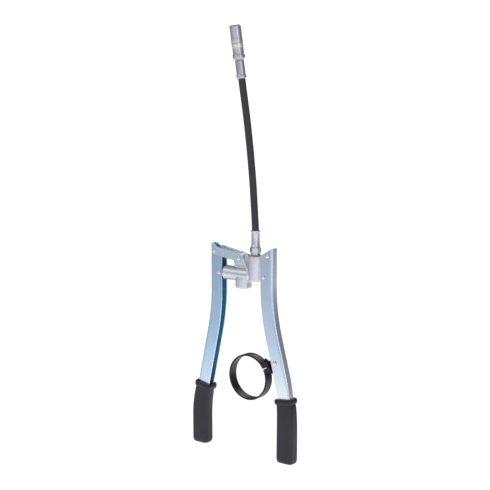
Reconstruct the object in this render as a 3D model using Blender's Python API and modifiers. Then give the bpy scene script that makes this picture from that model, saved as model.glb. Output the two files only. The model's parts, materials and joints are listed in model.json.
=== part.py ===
"""Two-hand lever grease gun, without its grease barrel: cast head, two pressed handles, hose and coupler.

Sizes are in metres. The drawing frame has X = 0 midway between the two handles, which is also the
barrel's axis, Z = 0 at the top of the handles and Y = 0 in the middle of their thickness. Everything
hangs from one empty that moves this frame, so that the world origin is the middle of the fixed grip.
"""

from math import atan2, cos, hypot, pi, radians, sin

import bmesh
import bpy
from mathutils import Matrix, Vector

MM = 0.001

# Fits
GAP = 0.3 * MM               # left between pieces that touch
PIN_PLAY = 0.3 * MM          # radial play of a pin in its hole

# Handles: two pressed channels, open towards each other
HANDLE_SPAN = 105.0 * MM     # over the outsides of both webs, at the top
CHANNEL_WIDTH = 12.8 * MM
CHANNEL_DEPTH = 19.5 * MM
SHEET = 1.8 * MM
FOLD_RADIUS = 3.0 * MM       # outside of the folds
HANDLE_LENGTH = 284.0 * MM   # from the top down to the end inside the grip
UPPER_BEND_RADIUS = 280.0 * MM
LOWER_BEND_RADIUS = 220.0 * MM
TOP_CUT_START = 0.6 * MM     # above the handles' top, just outside the web
TOP_CUT = [                  # depth from the web's outside, and drop, along the flanges' sloping top edge
    (-1.0 * MM, 0.0 * MM),
    (3.5 * MM, 2.0 * MM),
    (7.9 * MM, 4.9 * MM),
    (13.5 * MM, 8.2 * MM),
    (19.5 * MM, 12.1 * MM),
]
FIXED_STRAIGHT = 50.0 * MM
FIXED_LEAN = radians(14.8)
FIXED_SLANT = 52.0 * MM      # straight stretch between the two bends
MOVING_STRAIGHT = 62.0 * MM
MOVING_LEAN = radians(12.4)
MOVING_SLANT = 85.0 * MM

# Grips
FIXED_GRIP_LENGTH = 90.2 * MM
FIXED_GRIP_PAST = 8.5 * MM   # beyond the end of the handle
MOVING_GRIP_LENGTH = 91.2 * MM
MOVING_GRIP_PAST = 7.0 * MM
GRIP_OUTER_WALL = 1.7 * MM   # thinnest, on the web side, at the collar
GRIP_BULGE = 2.4 * MM        # added to it in the palm
GRIP_FLARE = 0.6 * MM        # added to the inner wall at the lower end
GRIP_INNER_WALL = 2.2 * MM
GRIP_SIDE_WALL = 2.5 * MM
GRIP_CORNER = 5.0 * MM
GRIP_END_START = 0.93        # share of the length where the rounded end starts
GRIP_END_ROUND = 2.4 * MM
GRIP_FLOOR = -2.0 * MM       # of the hollow, from the end of the handle
GRIP_CENTRE_IN = 8.87 * MM   # from the outside of the web, at half the fixed grip's length
COLLAR_HEIGHT = 7.5 * MM
COLLAR_PROUD = 2.2 * MM

# Pins and rivets, all pressed across the thickness
RIVET_RADIUS = 2.2 * MM
RIVET_HEAD_PROUD = 0.7 * MM  # of the shank, all round
RIVET_HEAD_HEIGHT = 1.2 * MM
UPPER_HOLE_IN = 7.9 * MM     # from the outside of the web
UPPER_HOLE_DROP = 10.8 * MM
LOWER_HOLE_IN = 14.7 * MM
LOWER_HOLE_DROP = 40.5 * MM

# Link between the moving handle and the head
LINK_HEAD_PIN = Vector((-2.0 * MM, 0, -17.7 * MM))
LINK_ABOVE = 6.5 * MM        # plate above the line of its pins
LINK_BELOW = 5.0 * MM
LINK_HEAD_END = 7.6 * MM     # plate beyond the pin in the head
LINK_HANDLE_END = 5.0 * MM   # and beyond the pin in the handle
LINK_SHEET = 1.6 * MM
LINK_WEB_START = 8.5 * MM    # from the handle pin
LINK_WEB_END = 36.5 * MM

# Head casting
PUMP_RADIUS = 10.0 * MM
PUMP_STANDOFF = 2.0 * MM     # from the moving handle's open side
PUMP_IN_TOWER = 3.0 * MM     # short of the tower's axis
OUTLET_X = 20.3 * MM
OUTLET_RADIUS = 10.0 * MM
OUTLET_TOP = -13.0 * MM
OUTLET_BOTTOM = -47.8 * MM
BOSS_RADIUS = 11.2 * MM
BOSS_BOTTOM = -59.3 * MM
INLET_RADIUS = 6.6 * MM
INLET_DEPTH = 6.5 * MM
PORT_RADIUS = 2.6 * MM
EDGE = 1.2 * MM              # cast edges
EAR_HUB_RADIUS = 7.3 * MM
EAR_WEB = 6.4 * MM           # thickness
EAR_LEFT = -14.9 * MM        # its left edge
CAST_SIDES = 48
RIB_WIDTH = 2.6 * MM

# Plunger, bush and packing
PLUNGER_RADIUS = 4.0 * MM
PLUNGER_TIP = 8.0 * MM
PLUNGER_EYE = 6.2 * MM       # half height
EYE_SLOT_RISE = 1.4 * MM     # the pin's play up and down in the eye
BUSH_RADIUS = 6.3 * MM
BUSH_LENGTH = 6.0 * MM
SEAL_LENGTH = 3.0 * MM

# Outlet valve
BALL_RADIUS = 3.0 * MM
BALL_SEAT_RADIUS = 2.3 * MM
VALVE_SEAT = -33.0 * MM      # height of the seat
VALVE_RADIUS = 3.9 * MM
THREAD_RADIUS = 5.0 * MM
THREAD_DEPTH = 9.0 * MM
SPRING_WIRE = 0.35 * MM      # radius

# Hose and its lower fitting
HOSE_RADIUS = 4.8 * MM
WASHER_HEIGHT = 1.5 * MM
COLLAR_RADIUS = 6.8 * MM
FITTING_COLLAR = 2.1 * MM    # height
HEX_ACROSS = 13.6 * MM
HEX_HEIGHT = 7.4 * MM
BORE_RADIUS = 1.5 * MM
TAIL_RADIUS = 2.6 * MM
TAIL_HEIGHT = 4.2 * MM
FERRULE_WALL = 0.8 * MM
FERRULE_LENGTH = 22.6 * MM
FERRULE_LIP = 0.8 * MM
HOSE_CLEAR = 0.5 * MM        # from the fitting's tail
HOSE_ROUTE = [               # drawing frame, from above the lower ferrule to inside the coupler's ferrule
    Vector((20.2 * MM, -0.3 * MM, 24.0 * MM)),
    Vector((19.3 * MM, -2.5 * MM, 62.7 * MM)),
    Vector((18.7 * MM, -4.5 * MM, 89.6 * MM)),
    Vector((17.3 * MM, -8.4 * MM, 130.0 * MM)),
    Vector((15.5 * MM, -12.9 * MM, 169.4 * MM)),
    Vector((13.2 * MM, -18.2 * MM, 208.7 * MM)),
    Vector((11.8 * MM, -21.9 * MM, 234.8 * MM)),
]
HOSE_STEPS = 3               # points for each stretch of the route

# Coupler, measured along its own axis from the lower end of the upper ferrule
UPPER_FERRULE_WALL = 1.1 * MM
UPPER_FERRULE_LENGTH = 23.5 * MM
END_RING_PROUD = 0.7 * MM
END_RING_HEIGHT = 4.6 * MM
HOSE_IN_FERRULE = 11.1 * MM
STUB_RADIUS = 4.5 * MM
STUB_LENGTH = 7.0 * MM
SHOULDER_RADIUS = 8.2 * MM
SHOULDER_HEIGHT = 7.8 * MM
BODY_RADIUS = 7.3 * MM
BODY_HEIGHT = 9.5 * MM
RING_RADIUS = 7.7 * MM
RING_HEIGHT = 5.0 * MM
SPIGOT_RADIUS = 6.2 * MM
SPIGOT_HEIGHT = 8.0 * MM
SPRING_ROOM = 4.6 * MM       # radius of the chamber
CAP_WALL = 1.3 * MM          # around the spigot
CAP_HEIGHT = 22.8 * MM
MOUTH_RADIUS = 5.0 * MM
JAW_BORE = 3.4 * MM
JAW_LENGTH = 13.0 * MM
JAW_SLIT = 0.8 * MM
PISTON_LENGTH = 9.0 * MM
NOSE_SEAL = 1.6 * MM

# Barrel clamp, hanging from the fixed handle
CLAMP_RIVET_DROP = 155.5 * MM
CLAMP_RIVET_IN = 13.57 * MM
CLAMP_LEAN = radians(30.27)  # of the line from the ring's centre to the rivet
BAND_INNER = 29.6 * MM       # radius
BAND_SHEET = 2.4 * MM
BAND_WIDTH = 13.4 * MM
BAND_SPLIT = 1.2 * MM
EYE_ROOM = 4.4 * MM          # height of the pocket between the ears
EYE_PLAY = 0.6 * MM          # round the swivel's eye, in the pocket
EAR_HEIGHT = 9.0 * MM
EAR_SHEET = 5.0 * MM
EAR_STANDOFF = 3.07 * MM     # from the ears to the hanger
CLAMP_SCREW_RADIUS = 1.5 * MM
CLAMP_HEAD_RADIUS = 3.0 * MM
CLAMP_HEAD_HEIGHT = 2.6 * MM
CLAMP_SCREW_TAIL = 2.0 * MM  # thread past the nut
HANGER_SHEET = 1.2 * MM
HANGER_WIDTH = 8.0 * MM
HANGER_REACH = 8.5 * MM      # from its rivet to its outer face
HANGER_RIVET_RADIUS = 1.6 * MM
HANGER_HEAD_PROUD = 1.6 * MM

# Worked out from the sizes above
HALF_SPAN = HANDLE_SPAN / 2
HALF_WIDTH = CHANNEL_WIDTH / 2
CHANNEL_INSIDE = HALF_WIDTH - SHEET
UPPER_HOLE = Vector((HALF_SPAN - UPPER_HOLE_IN, 0, -UPPER_HOLE_DROP))
LOWER_HOLE = Vector((HALF_SPAN - LOWER_HOLE_IN, 0, -LOWER_HOLE_DROP))
PUMP_Z = LOWER_HOLE.z
PUMP_LEFT = CHANNEL_DEPTH - HALF_SPAN + PUMP_STANDOFF
HANDLE_PIN = Vector((-UPPER_HOLE.x, 0, UPPER_HOLE.z))
PLUNGER_PIN = Vector((-LOWER_HOLE.x, 0, LOWER_HOLE.z))
LINK_INSIDE = HALF_WIDTH + GAP
LINK_OUTSIDE = LINK_INSIDE + LINK_SHEET
FITTING_BASE = OUTLET_TOP + GAP + WASHER_HEIGHT + GAP
HEX_BASE = FITTING_BASE + FITTING_COLLAR
HEX_TOP = HEX_BASE + HEX_HEIGHT
HOSE_START = Vector((OUTLET_X, 0, HEX_TOP + TAIL_HEIGHT + HOSE_CLEAR))
FERRULE_RADIUS = HOSE_RADIUS + FERRULE_WALL
UPPER_FERRULE_RADIUS = HOSE_RADIUS + UPPER_FERRULE_WALL
END_RING_RADIUS = UPPER_FERRULE_RADIUS + END_RING_PROUD
CAP_RADIUS = SPIGOT_RADIUS + CAP_WALL
BAND_OUTER = BAND_INNER + BAND_SHEET
EAR_TOP = BAND_OUTER + EAR_HEIGHT
EYE_RADIUS = EAR_HEIGHT / 2 - 1.2 * MM
CLAMP_REACH = EAR_TOP + EAR_STANDOFF + HANGER_REACH

ACROSS = Vector((0, 1, 0))
UP = Vector((0, 0, 1))

pivots = {}


def clear_scene():
    for obj in list(bpy.data.objects):
        bpy.data.objects.remove(obj)


def new_collection(name):
    collection = bpy.data.collections.new(name)
    bpy.context.scene.collection.children.link(collection)
    return collection


def new_pivot(name, place, parent=None):
    """An empty at a place in the drawing frame, on the axis that its children turn about."""
    empty = bpy.data.objects.new(name, None)
    parts.objects.link(empty)
    empty.empty_display_size = 0.01
    empty.location = place - (pivots[parent.name] if parent else Vector())
    empty.parent = parent
    pivots[name] = place
    return empty


def material(name, colour, roughness, metallic):
    mat = bpy.data.materials.new(name)
    mat.use_nodes = True
    shader = mat.node_tree.nodes["Principled BSDF"]
    shader.inputs["Base Color"].default_value = (*colour, 1)
    shader.inputs["Roughness"].default_value = roughness
    shader.inputs["Metallic"].default_value = metallic
    return mat


def add(name, mesh, mat=None, pivot=None, frame=None):
    """Put a mesh drawn in the drawing frame, or in its own frame, into the model. No material: a cutter."""
    pivot = pivot or root
    obj = bpy.data.objects.new(name, mesh)
    (parts if mat else tools).objects.link(obj)
    obj.parent = pivot
    obj.matrix_local = Matrix.Translation(-pivots[pivot.name]) @ (frame or Matrix())
    if mat:
        mesh.materials.append(mat)
    else:
        obj.hide_render = True
        obj.display_type = "WIRE"
    return obj


def along(base, direction):
    """A frame at a base point with its Z axis along a direction."""
    return Matrix.Translation(base) @ direction.to_track_quat("Z", "Y").to_matrix().to_4x4()


def mesh_of(bm, name):
    mesh = bpy.data.meshes.new(name)
    bm.to_mesh(mesh)
    bm.free()
    return mesh


def shade(mesh):
    mesh.shade_smooth()
    mesh.set_sharp_from_angle(angle=radians(35))


def block(name, low, high, mat=None, pivot=None, frame=None):
    bm = bmesh.new()
    bmesh.ops.create_cube(bm, size=1)
    low, high = Vector(low), Vector(high)
    place = Matrix.Translation((low + high) / 2) @ Matrix.Diagonal((*(high - low), 1))
    bmesh.ops.transform(bm, matrix=place, verts=bm.verts)
    return add(name, mesh_of(bm, name), mat, pivot, frame)


def rod(name, radius, start, end, mat=None, pivot=None, frame=None, sides=24):
    bm = bmesh.new()
    start, end = Vector(start), Vector(end)
    place = along((start + end) / 2, end - start)
    depth = (end - start).length
    bmesh.ops.create_cone(bm, cap_ends=True, segments=sides, radius1=radius, radius2=radius, depth=depth,
                          matrix=place)
    mesh = mesh_of(bm, name)
    shade(mesh)
    return add(name, mesh, mat, pivot, frame)


def turned(name, profile, frame, mat=None, pivot=None, closed=False, sides=28):
    """A turned piece: its profile of (radius, height) runs down its outer side."""
    mesh = bpy.data.meshes.new(name)
    edges = [(i, i + 1) for i in range(len(profile) - 1)]
    if closed:
        edges.append((len(profile) - 1, 0))
    mesh.from_pydata([(r, 0, z) for r, z in profile], edges, [])
    obj = add(name, mesh, mat, pivot, frame)
    screw = obj.modifiers.new("Turn", "SCREW")
    screw.steps = sides
    screw.render_steps = sides
    screw.use_merge_vertices = True
    screw.merge_threshold = 0.00001
    screw.use_smooth_shade = True
    return obj


def plate(name, outline, y_low, y_high, mat=None, pivot=None):
    """A flat piece: an outline of (x, z) points, filled, and as thick as from y_low to y_high."""
    curve = bpy.data.curves.new(name, "CURVE")
    curve.dimensions = "2D"
    curve.fill_mode = "BOTH"
    curve.extrude = (y_high - y_low) / 2
    spline = curve.splines.new("POLY")
    spline.points.add(len(outline) - 1)
    for point, (x, z) in zip(spline.points, outline):
        point.co = (x, z, 0, 1)
    spline.use_cyclic_u = True
    stand = Matrix.Translation((0, (y_low + y_high) / 2, 0)) @ Matrix.Rotation(pi / 2, 4, "X")
    return solid_from_curve(name, curve, stand, mat, pivot)


def solid_from_curve(name, curve, frame, mat=None, pivot=None):
    """The curve's own surface as a closed mesh, which can be cut and joined."""
    sketch = bpy.data.objects.new(name + "_curve", curve)
    parts.objects.link(sketch)
    bpy.context.view_layer.update()
    mesh = bpy.data.meshes.new_from_object(sketch.evaluated_get(bpy.context.evaluated_depsgraph_get()))
    bpy.data.objects.remove(sketch)
    bm = bmesh.new()
    bm.from_mesh(mesh)
    bmesh.ops.remove_doubles(bm, verts=bm.verts, dist=0.000001)
    bmesh.ops.recalc_face_normals(bm, faces=bm.faces)
    bmesh.ops.transform(bm, matrix=frame, verts=bm.verts)
    bpy.data.meshes.remove(mesh)
    mesh = mesh_of(bm, name)
    shade(mesh)
    return add(name, mesh, mat, pivot)


def combine(obj, operation, *others):
    for other in others:
        boolean = obj.modifiers.new(operation.title(), "BOOLEAN")
        boolean.operation = operation
        boolean.solver = "EXACT"
        boolean.object = other
    return obj


def join(obj, *others):
    return combine(obj, "UNION", *others)


def cut(obj, *others):
    return combine(obj, "DIFFERENCE", *others)


def arc(centre, radius, start, end, steps):
    """Points (x, z) on an arc, from one angle to another."""
    angles = [start + (end - start) * i / steps for i in range(steps + 1)]
    return [(centre[0] + radius * cos(a), centre[1] + radius * sin(a)) for a in angles]


# Handles and grips


def handle_line(straight, lean, slant):
    """Points on the outside of the web, with the web's lean there, from the top down to the end."""
    x, z, angle = HALF_SPAN, 0.0, 0.0
    stations = [(x, z, angle)]

    def run(length, steps=1):
        nonlocal x, z
        for _ in range(steps):
            x += length / steps * sin(angle)
            z -= length / steps * cos(angle)
            stations.append((x, z, angle))

    def bend(radius, turn, steps):
        nonlocal angle
        for _ in range(steps):
            angle += turn / steps / 2
            run(radius * abs(turn) / steps)
            angle += turn / steps / 2
            stations[-1] = (x, z, angle)

    run(straight)
    bend(UPPER_BEND_RADIUS, lean, 7)
    run(slant)
    bend(LOWER_BEND_RADIUS, -lean, 6)
    run(HANDLE_LENGTH + z, 2)
    return stations


def clear_of_web(line, inside, drop):
    """The point a distance inside a line, at a drop below the top of the handles."""
    x, _ = place_on_line(line, -drop)
    return Vector((x - inside, 0, -drop))


def channel(name, line, side, mat, pivot):
    """A folded channel that follows a line. side is 1 on the right and -1 on the left."""
    half, fold = HALF_WIDTH, FOLD_RADIUS
    front = arc((fold, -half + fold), fold, -pi / 2, -pi, 2)
    section = [(CHANNEL_DEPTH, -half)] + front + [(d, -y) for d, y in reversed(front)] + [(CHANNEL_DEPTH, half)]
    bm = bmesh.new()
    rows = []
    for x, z, lean in line:
        rows.append([bm.verts.new((side * (x - d * cos(lean)), y, z - d * sin(lean))) for d, y in section])
    for upper, lower in zip(rows, rows[1:]):
        for i in range(len(section) - 1):
            face = (upper[i], lower[i], lower[i + 1], upper[i + 1])
            bm.faces.new(face if side > 0 else face[::-1])
    mesh = mesh_of(bm, name)
    shade(mesh)
    obj = add(name, mesh, mat, pivot)
    solidify = obj.modifiers.new("Sheet", "SOLIDIFY")
    solidify.thickness = SHEET
    solidify.offset = -1
    solidify.use_even_offset = True
    top = [(side * x, z) for x, z in top_cut()]
    cut(obj, plate(name + "_top_cut", top, -2 * half, 2 * half))
    return obj


def top_cut():
    """What the press trims off the flanges above their sloping top edge."""
    end = HALF_SPAN - CHANNEL_DEPTH
    above = 5 * MM
    slope = [(HALF_SPAN - depth, TOP_CUT_START - drop) for depth, drop in TOP_CUT]
    return slope + [(end - above, slope[-1][1] - above / 2), (end - above, above), (slope[0][0], above)]


def grip_sections(line, top, bottom):
    """For heights down the grip: the web's place and lean there, and the grip's outer and inner walls."""
    for share in [i / 10 * GRIP_END_START for i in range(11)] + [0.955, 0.98, 0.995, 1]:
        z = top + (bottom - top) * share
        x, lean = place_on_line(line, z)
        swell = sin(pi / 2 * min(1, share * 1.9))
        yield share, x, z, lean, GRIP_OUTER_WALL + GRIP_BULGE * swell, GRIP_INNER_WALL + GRIP_FLARE * share ** 2


def place_on_line(line, z):
    for (x0, z0, lean0), (x1, z1, lean1) in zip(line, line[1:]):
        if z1 <= z:
            t = (z - z0) / (z1 - z0)
            return x0 + (x1 - x0) * t, lean0 + (lean1 - lean0) * t
    return line[-1][0], line[-1][2]


def tube_of_sections(name, rings, mat=None, pivot=None):
    """A closed solid through rings of points of equal number."""
    bm = bmesh.new()
    loops = [[bm.verts.new(p) for p in ring] for ring in rings]
    count = len(loops[0])
    for upper, lower in zip(loops, loops[1:]):
        for i in range(count):
            j = (i + 1) % count
            bm.faces.new((upper[i], lower[i], lower[j], upper[j]))
    bm.faces.new(loops[0])
    bm.faces.new(loops[-1][::-1])
    bmesh.ops.recalc_face_normals(bm, faces=bm.faces)
    mesh = mesh_of(bm, name)
    shade(mesh)
    return add(name, mesh, mat, pivot)


def rounded_ring(side, x, z, lean, outer, inner, half, corner):
    """A rounded rectangle about the channel: from outer beyond the web to inner beyond the opening."""
    depth = CHANNEL_DEPTH + inner
    corner = min(corner, half - 0.001 * MM)
    centres = [(-outer + corner, -half + corner), (depth - corner, -half + corner),
               (depth - corner, half - corner), (-outer + corner, half - corner)]
    ring = []
    for quarter, (d, y) in enumerate(centres):
        start = pi + quarter * pi / 2
        for dd, yy in arc((d, y), corner, start, start + pi / 2, 4):
            ring.append((side * (x - dd * cos(lean)), yy, z - dd * sin(lean)))
    return ring


def grip(name, line, side, length, past, pivot):
    bottom = -HANDLE_LENGTH - past
    top = bottom + length
    rings = []
    half = HALF_WIDTH + GAP + GRIP_SIDE_WALL
    for share, x, z, lean, outer, inner in grip_sections(line, top, bottom):
        fall = min(1, max(0, share - GRIP_END_START) / (1 - GRIP_END_START))
        shrink = GRIP_END_ROUND * (1 - (1 - fall ** 2) ** 0.5)
        rings.append(rounded_ring(side, x, z, lean, outer - shrink, inner - shrink, half - shrink, GRIP_CORNER))
    body = tube_of_sections(name, rings, grip_plastic, pivot)
    collar = []
    for share in (0, 0.15, 0.85, 1):
        z = top + 0.2 * MM - COLLAR_HEIGHT * share
        x, lean = place_on_line(line, z)
        proud = COLLAR_PROUD * (1 if 0.1 < share < 0.9 else 0.55)
        collar.append(rounded_ring(side, x, z, lean, GRIP_OUTER_WALL + proud, GRIP_INNER_WALL + proud,
                                   half + proud, GRIP_CORNER))
    hollow = []
    hollow_top, hollow_bottom = top + 3 * MM, GRIP_FLOOR - HANDLE_LENGTH
    for z in [hollow_top + (hollow_bottom - hollow_top) * i / 8 for i in range(9)]:
        x, lean = place_on_line(line, z)
        hollow.append(rounded_ring(side, x, z, lean, GAP, GAP, HALF_WIDTH + GAP, GAP))
    join(body, tube_of_sections(name + "_collar", collar))
    cut(body, tube_of_sections(name + "_hollow", hollow))
    return body


def rivet(name, place, inside, pivot, radius=RIVET_RADIUS, proud=RIVET_HEAD_PROUD, height=RIVET_HEAD_HEIGHT):
    """A pin with a low dome on both ends. inside is half the width between its heads."""
    head = radius + proud
    low, high = -inside - height, inside + height
    profile = [(0, high), (head * 0.55, high - height * 0.15), (head, high - height * 0.6), (head, inside),
               (radius, inside), (radius, -inside), (head, -inside), (head, low + height * 0.6),
               (head * 0.55, low + height * 0.15), (0, low)]
    return turned(name, profile, along(place, -ACROSS), rivet_steel, pivot, sides=12)


def hole(name, place, radius, half_length):
    return rod(name, radius + PIN_PLAY, place - ACROSS * half_length, place + ACROSS * half_length, sides=16)


def make_handles():
    fixed = channel("fixed_handle", fixed_line, 1, zinc, root)
    moving = channel("moving_handle", moving_line, -1, zinc, handle_pivot)
    for name, place in (("upper", UPPER_HOLE), ("lower", LOWER_HOLE)):
        cut(fixed, hole("fixed_handle_hole_" + name, place, RIVET_RADIUS, CHANNEL_WIDTH))
        rivet("head_rivet_" + name, place, HALF_WIDTH + GAP, root)
    for name, place in (("upper", HANDLE_PIN), ("lower", PLUNGER_PIN)):
        cut(moving, hole("moving_handle_hole_" + name, place, RIVET_RADIUS, CHANNEL_WIDTH))
    cut(fixed, hole("clamp_rivet_hole", clamp_rivet, HANGER_RIVET_RADIUS, CHANNEL_WIDTH))
    rivet("plunger_pin", PLUNGER_PIN, HALF_WIDTH + GAP, handle_pivot)
    grip("fixed_grip", fixed_line, 1, FIXED_GRIP_LENGTH, FIXED_GRIP_PAST, root)
    grip("moving_grip", moving_line, -1, MOVING_GRIP_LENGTH, MOVING_GRIP_PAST, handle_pivot)


# Link


def make_link():
    run = LINK_HEAD_PIN - HANDLE_PIN
    length = run.length
    frame = Matrix.Translation(HANDLE_PIN) @ Matrix.Rotation(-atan2(run.z, run.x), 4, "Y")

    def drawn(points):
        return [tuple((frame @ Vector((u, 0, v))).xz) for u, v in points]

    radius = (LINK_ABOVE + LINK_BELOW) / 2
    middle = LINK_ABOVE - radius
    right = arc((length + LINK_HEAD_END - radius, middle), radius, -pi / 2, pi / 2, 16)
    left = arc((radius - LINK_HANDLE_END, middle), radius, pi / 2, 3 * pi / 2, 16)
    outline = drawn(right + left)
    web_low = LINK_ABOVE - LINK_SHEET
    web = drawn([(LINK_WEB_START, web_low), (LINK_WEB_END, web_low),
                 (LINK_WEB_END, LINK_ABOVE - GAP), (LINK_WEB_START, LINK_ABOVE - GAP)])
    link = plate("link", outline, -LINK_OUTSIDE, -LINK_INSIDE, zinc, link_pivot)
    join(link, plate("link_web", web, -LINK_OUTSIDE + GAP, LINK_OUTSIDE - GAP),
         plate("link_back", outline, LINK_INSIDE, LINK_OUTSIDE))
    for name, place in (("link_handle_pin", HANDLE_PIN), ("link_head_pin", LINK_HEAD_PIN)):
        cut(link, hole(name + "_hole", place, RIVET_RADIUS, 2 * LINK_OUTSIDE))
        rivet(name, place, LINK_OUTSIDE + GAP, link_pivot)


# Head casting and what is in it


def make_head():
    pump_right = OUTLET_X - PUMP_IN_TOWER
    pump_length = pump_right - PUMP_LEFT
    pump_frame = along(Vector((pump_right, 0, PUMP_Z)), Vector((-1, 0, 0)))
    pump = [(0, pump_length), (PUMP_RADIUS - EDGE, pump_length), (PUMP_RADIUS, pump_length - EDGE),
            (PUMP_RADIUS, 5 * MM), (PUMP_RADIUS - 3.5 * MM, 0), (0, 0)]
    head = turned("head_casting", pump, pump_frame, cast_metal, root, sides=CAST_SIDES)

    outlet_height = OUTLET_TOP - OUTLET_BOTTOM
    outlet = [(0, outlet_height), (OUTLET_RADIUS - EDGE, outlet_height), (OUTLET_RADIUS, outlet_height - EDGE),
              (OUTLET_RADIUS, EDGE), (OUTLET_RADIUS - EDGE, 0), (0, 0)]
    outlet_frame = along(Vector((OUTLET_X, 0, OUTLET_BOTTOM)), UP)
    boss_top = PUMP_Z - PUMP_RADIUS / 3
    boss_height = boss_top - BOSS_BOTTOM
    boss = [(0, boss_height), (BOSS_RADIUS - EDGE, boss_height), (BOSS_RADIUS, boss_height - EDGE),
            (BOSS_RADIUS, 1.6 * EDGE), (BOSS_RADIUS - EDGE / 2, EDGE / 2), (BOSS_RADIUS - 1.6 * EDGE, 0), (0, 0)]
    join(head, turned("outlet_tower", outlet, outlet_frame, sides=CAST_SIDES),
         turned("boss", boss, along(Vector((0, 0, BOSS_BOTTOM)), UP), sides=CAST_SIDES),
         *ear_pieces(), lug())
    cut(head, *head_bores())
    return head


def ear_pieces():
    """The ear that the link swings on: a hub, a web down to the pump and tower, and a rib."""
    hub = rod("ear_hub", EAR_HUB_RADIUS, LINK_HEAD_PIN - ACROSS * (LINK_INSIDE - GAP),
              LINK_HEAD_PIN + ACROSS * (LINK_INSIDE - GAP), sides=CAST_SIDES)
    x, z = LINK_HEAD_PIN.x, LINK_HEAD_PIN.z
    pump_top = PUMP_Z + PUMP_RADIUS
    web = [(x - EAR_HUB_RADIUS + 0.4 * MM, z), (EAR_LEFT, z - 2.8 * MM), (EAR_LEFT, z - 5 * MM),
           (EAR_LEFT + 1.4 * MM, pump_top + 2.5 * MM), (EAR_LEFT + 1.4 * MM, PUMP_Z), (OUTLET_X, PUMP_Z),
           (OUTLET_X, OUTLET_TOP - 13 * MM), (x + 9.1 * MM, z + 1.6 * MM), (x + 4.4 * MM, z + 5.6 * MM)]
    rib_foot = (OUTLET_X - OUTLET_RADIUS + 0.5 * MM, pump_top - 3 * MM)
    rib = slanted_bar((x + 4.6 * MM, z + 1 * MM), rib_foot, RIB_WIDTH)
    rib_half = HALF_WIDTH - 0.4 * MM
    return [hub, plate("ear_web", web, -EAR_WEB / 2, EAR_WEB / 2), plate("ear_rib", rib, -rib_half, rib_half)]


def slanted_bar(start, end, width):
    dx, dz = end[0] - start[0], end[1] - start[1]
    length = hypot(dx, dz)
    nx, nz = -dz / length * width / 2, dx / length * width / 2
    return [(start[0] - nx, start[1] - nz), (end[0] - nx, end[1] - nz),
            (end[0] + nx, end[1] + nz), (start[0] + nx, start[1] + nz)]


def lug():
    """The cast tongue inside the fixed handle's channel, which its two rivets go through."""
    far = HALF_SPAN - SHEET - GAP - 1 * MM
    outline = [(OUTLET_X, OUTLET_TOP - 4 * MM), (UPPER_HOLE.x - 8 * MM, UPPER_HOLE.z + 2 * MM),
               (UPPER_HOLE.x, UPPER_HOLE.z + 6 * MM), (far, UPPER_HOLE.z + 6 * MM), (far, LOWER_HOLE.z),
               (LOWER_HOLE.x + 4 * MM, LOWER_HOLE.z - 7 * MM), (OUTLET_X, LOWER_HOLE.z - 6 * MM)]
    return plate("handle_lug", outline, -CHANNEL_INSIDE + GAP, CHANNEL_INSIDE - GAP)


def head_bores():
    pump_left = Vector((PUMP_LEFT - 1 * MM, 0, PUMP_Z))
    bush_end = Vector((PUMP_LEFT + BUSH_LENGTH + SEAL_LENGTH + 3 * GAP, 0, PUMP_Z))
    outlet = Vector((OUTLET_X, 0, PUMP_Z))
    top = Vector((OUTLET_X, 0, OUTLET_TOP + 1 * MM))
    seat = Vector((OUTLET_X, 0, VALVE_SEAT))
    thread_end = Vector((OUTLET_X, 0, OUTLET_TOP - THREAD_DEPTH - 2 * GAP))
    inlet = Vector((0, 0, BOSS_BOTTOM - 1 * MM))
    inlet_end = Vector((0, 0, BOSS_BOTTOM + INLET_DEPTH))
    return [
        rod("bush_bore", BUSH_RADIUS + GAP, pump_left, bush_end),
        rod("pump_bore", PLUNGER_RADIUS + GAP, pump_left, outlet),
        rod("seat_bore", BALL_SEAT_RADIUS, outlet, seat + UP * 0.1 * MM),
        rod("valve_bore", VALVE_RADIUS, seat, top),
        rod("thread_bore", THREAD_RADIUS + GAP, thread_end, top),
        rod("inlet_bore", INLET_RADIUS, inlet, inlet_end, sides=CAST_SIDES),
        rod("inlet_port", PORT_RADIUS, inlet, Vector((0, 0, PUMP_Z))),
        hole("ear_hole", LINK_HEAD_PIN, RIVET_RADIUS, CHANNEL_WIDTH),
        hole("lug_hole_upper", UPPER_HOLE, RIVET_RADIUS, CHANNEL_WIDTH),
        hole("lug_hole_lower", LOWER_HOLE, RIVET_RADIUS, CHANNEL_WIDTH),
    ]


def ring_profile(inner, outer, low, high):
    return [(outer, high), (outer, low), (inner, low), (inner, high)]


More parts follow.
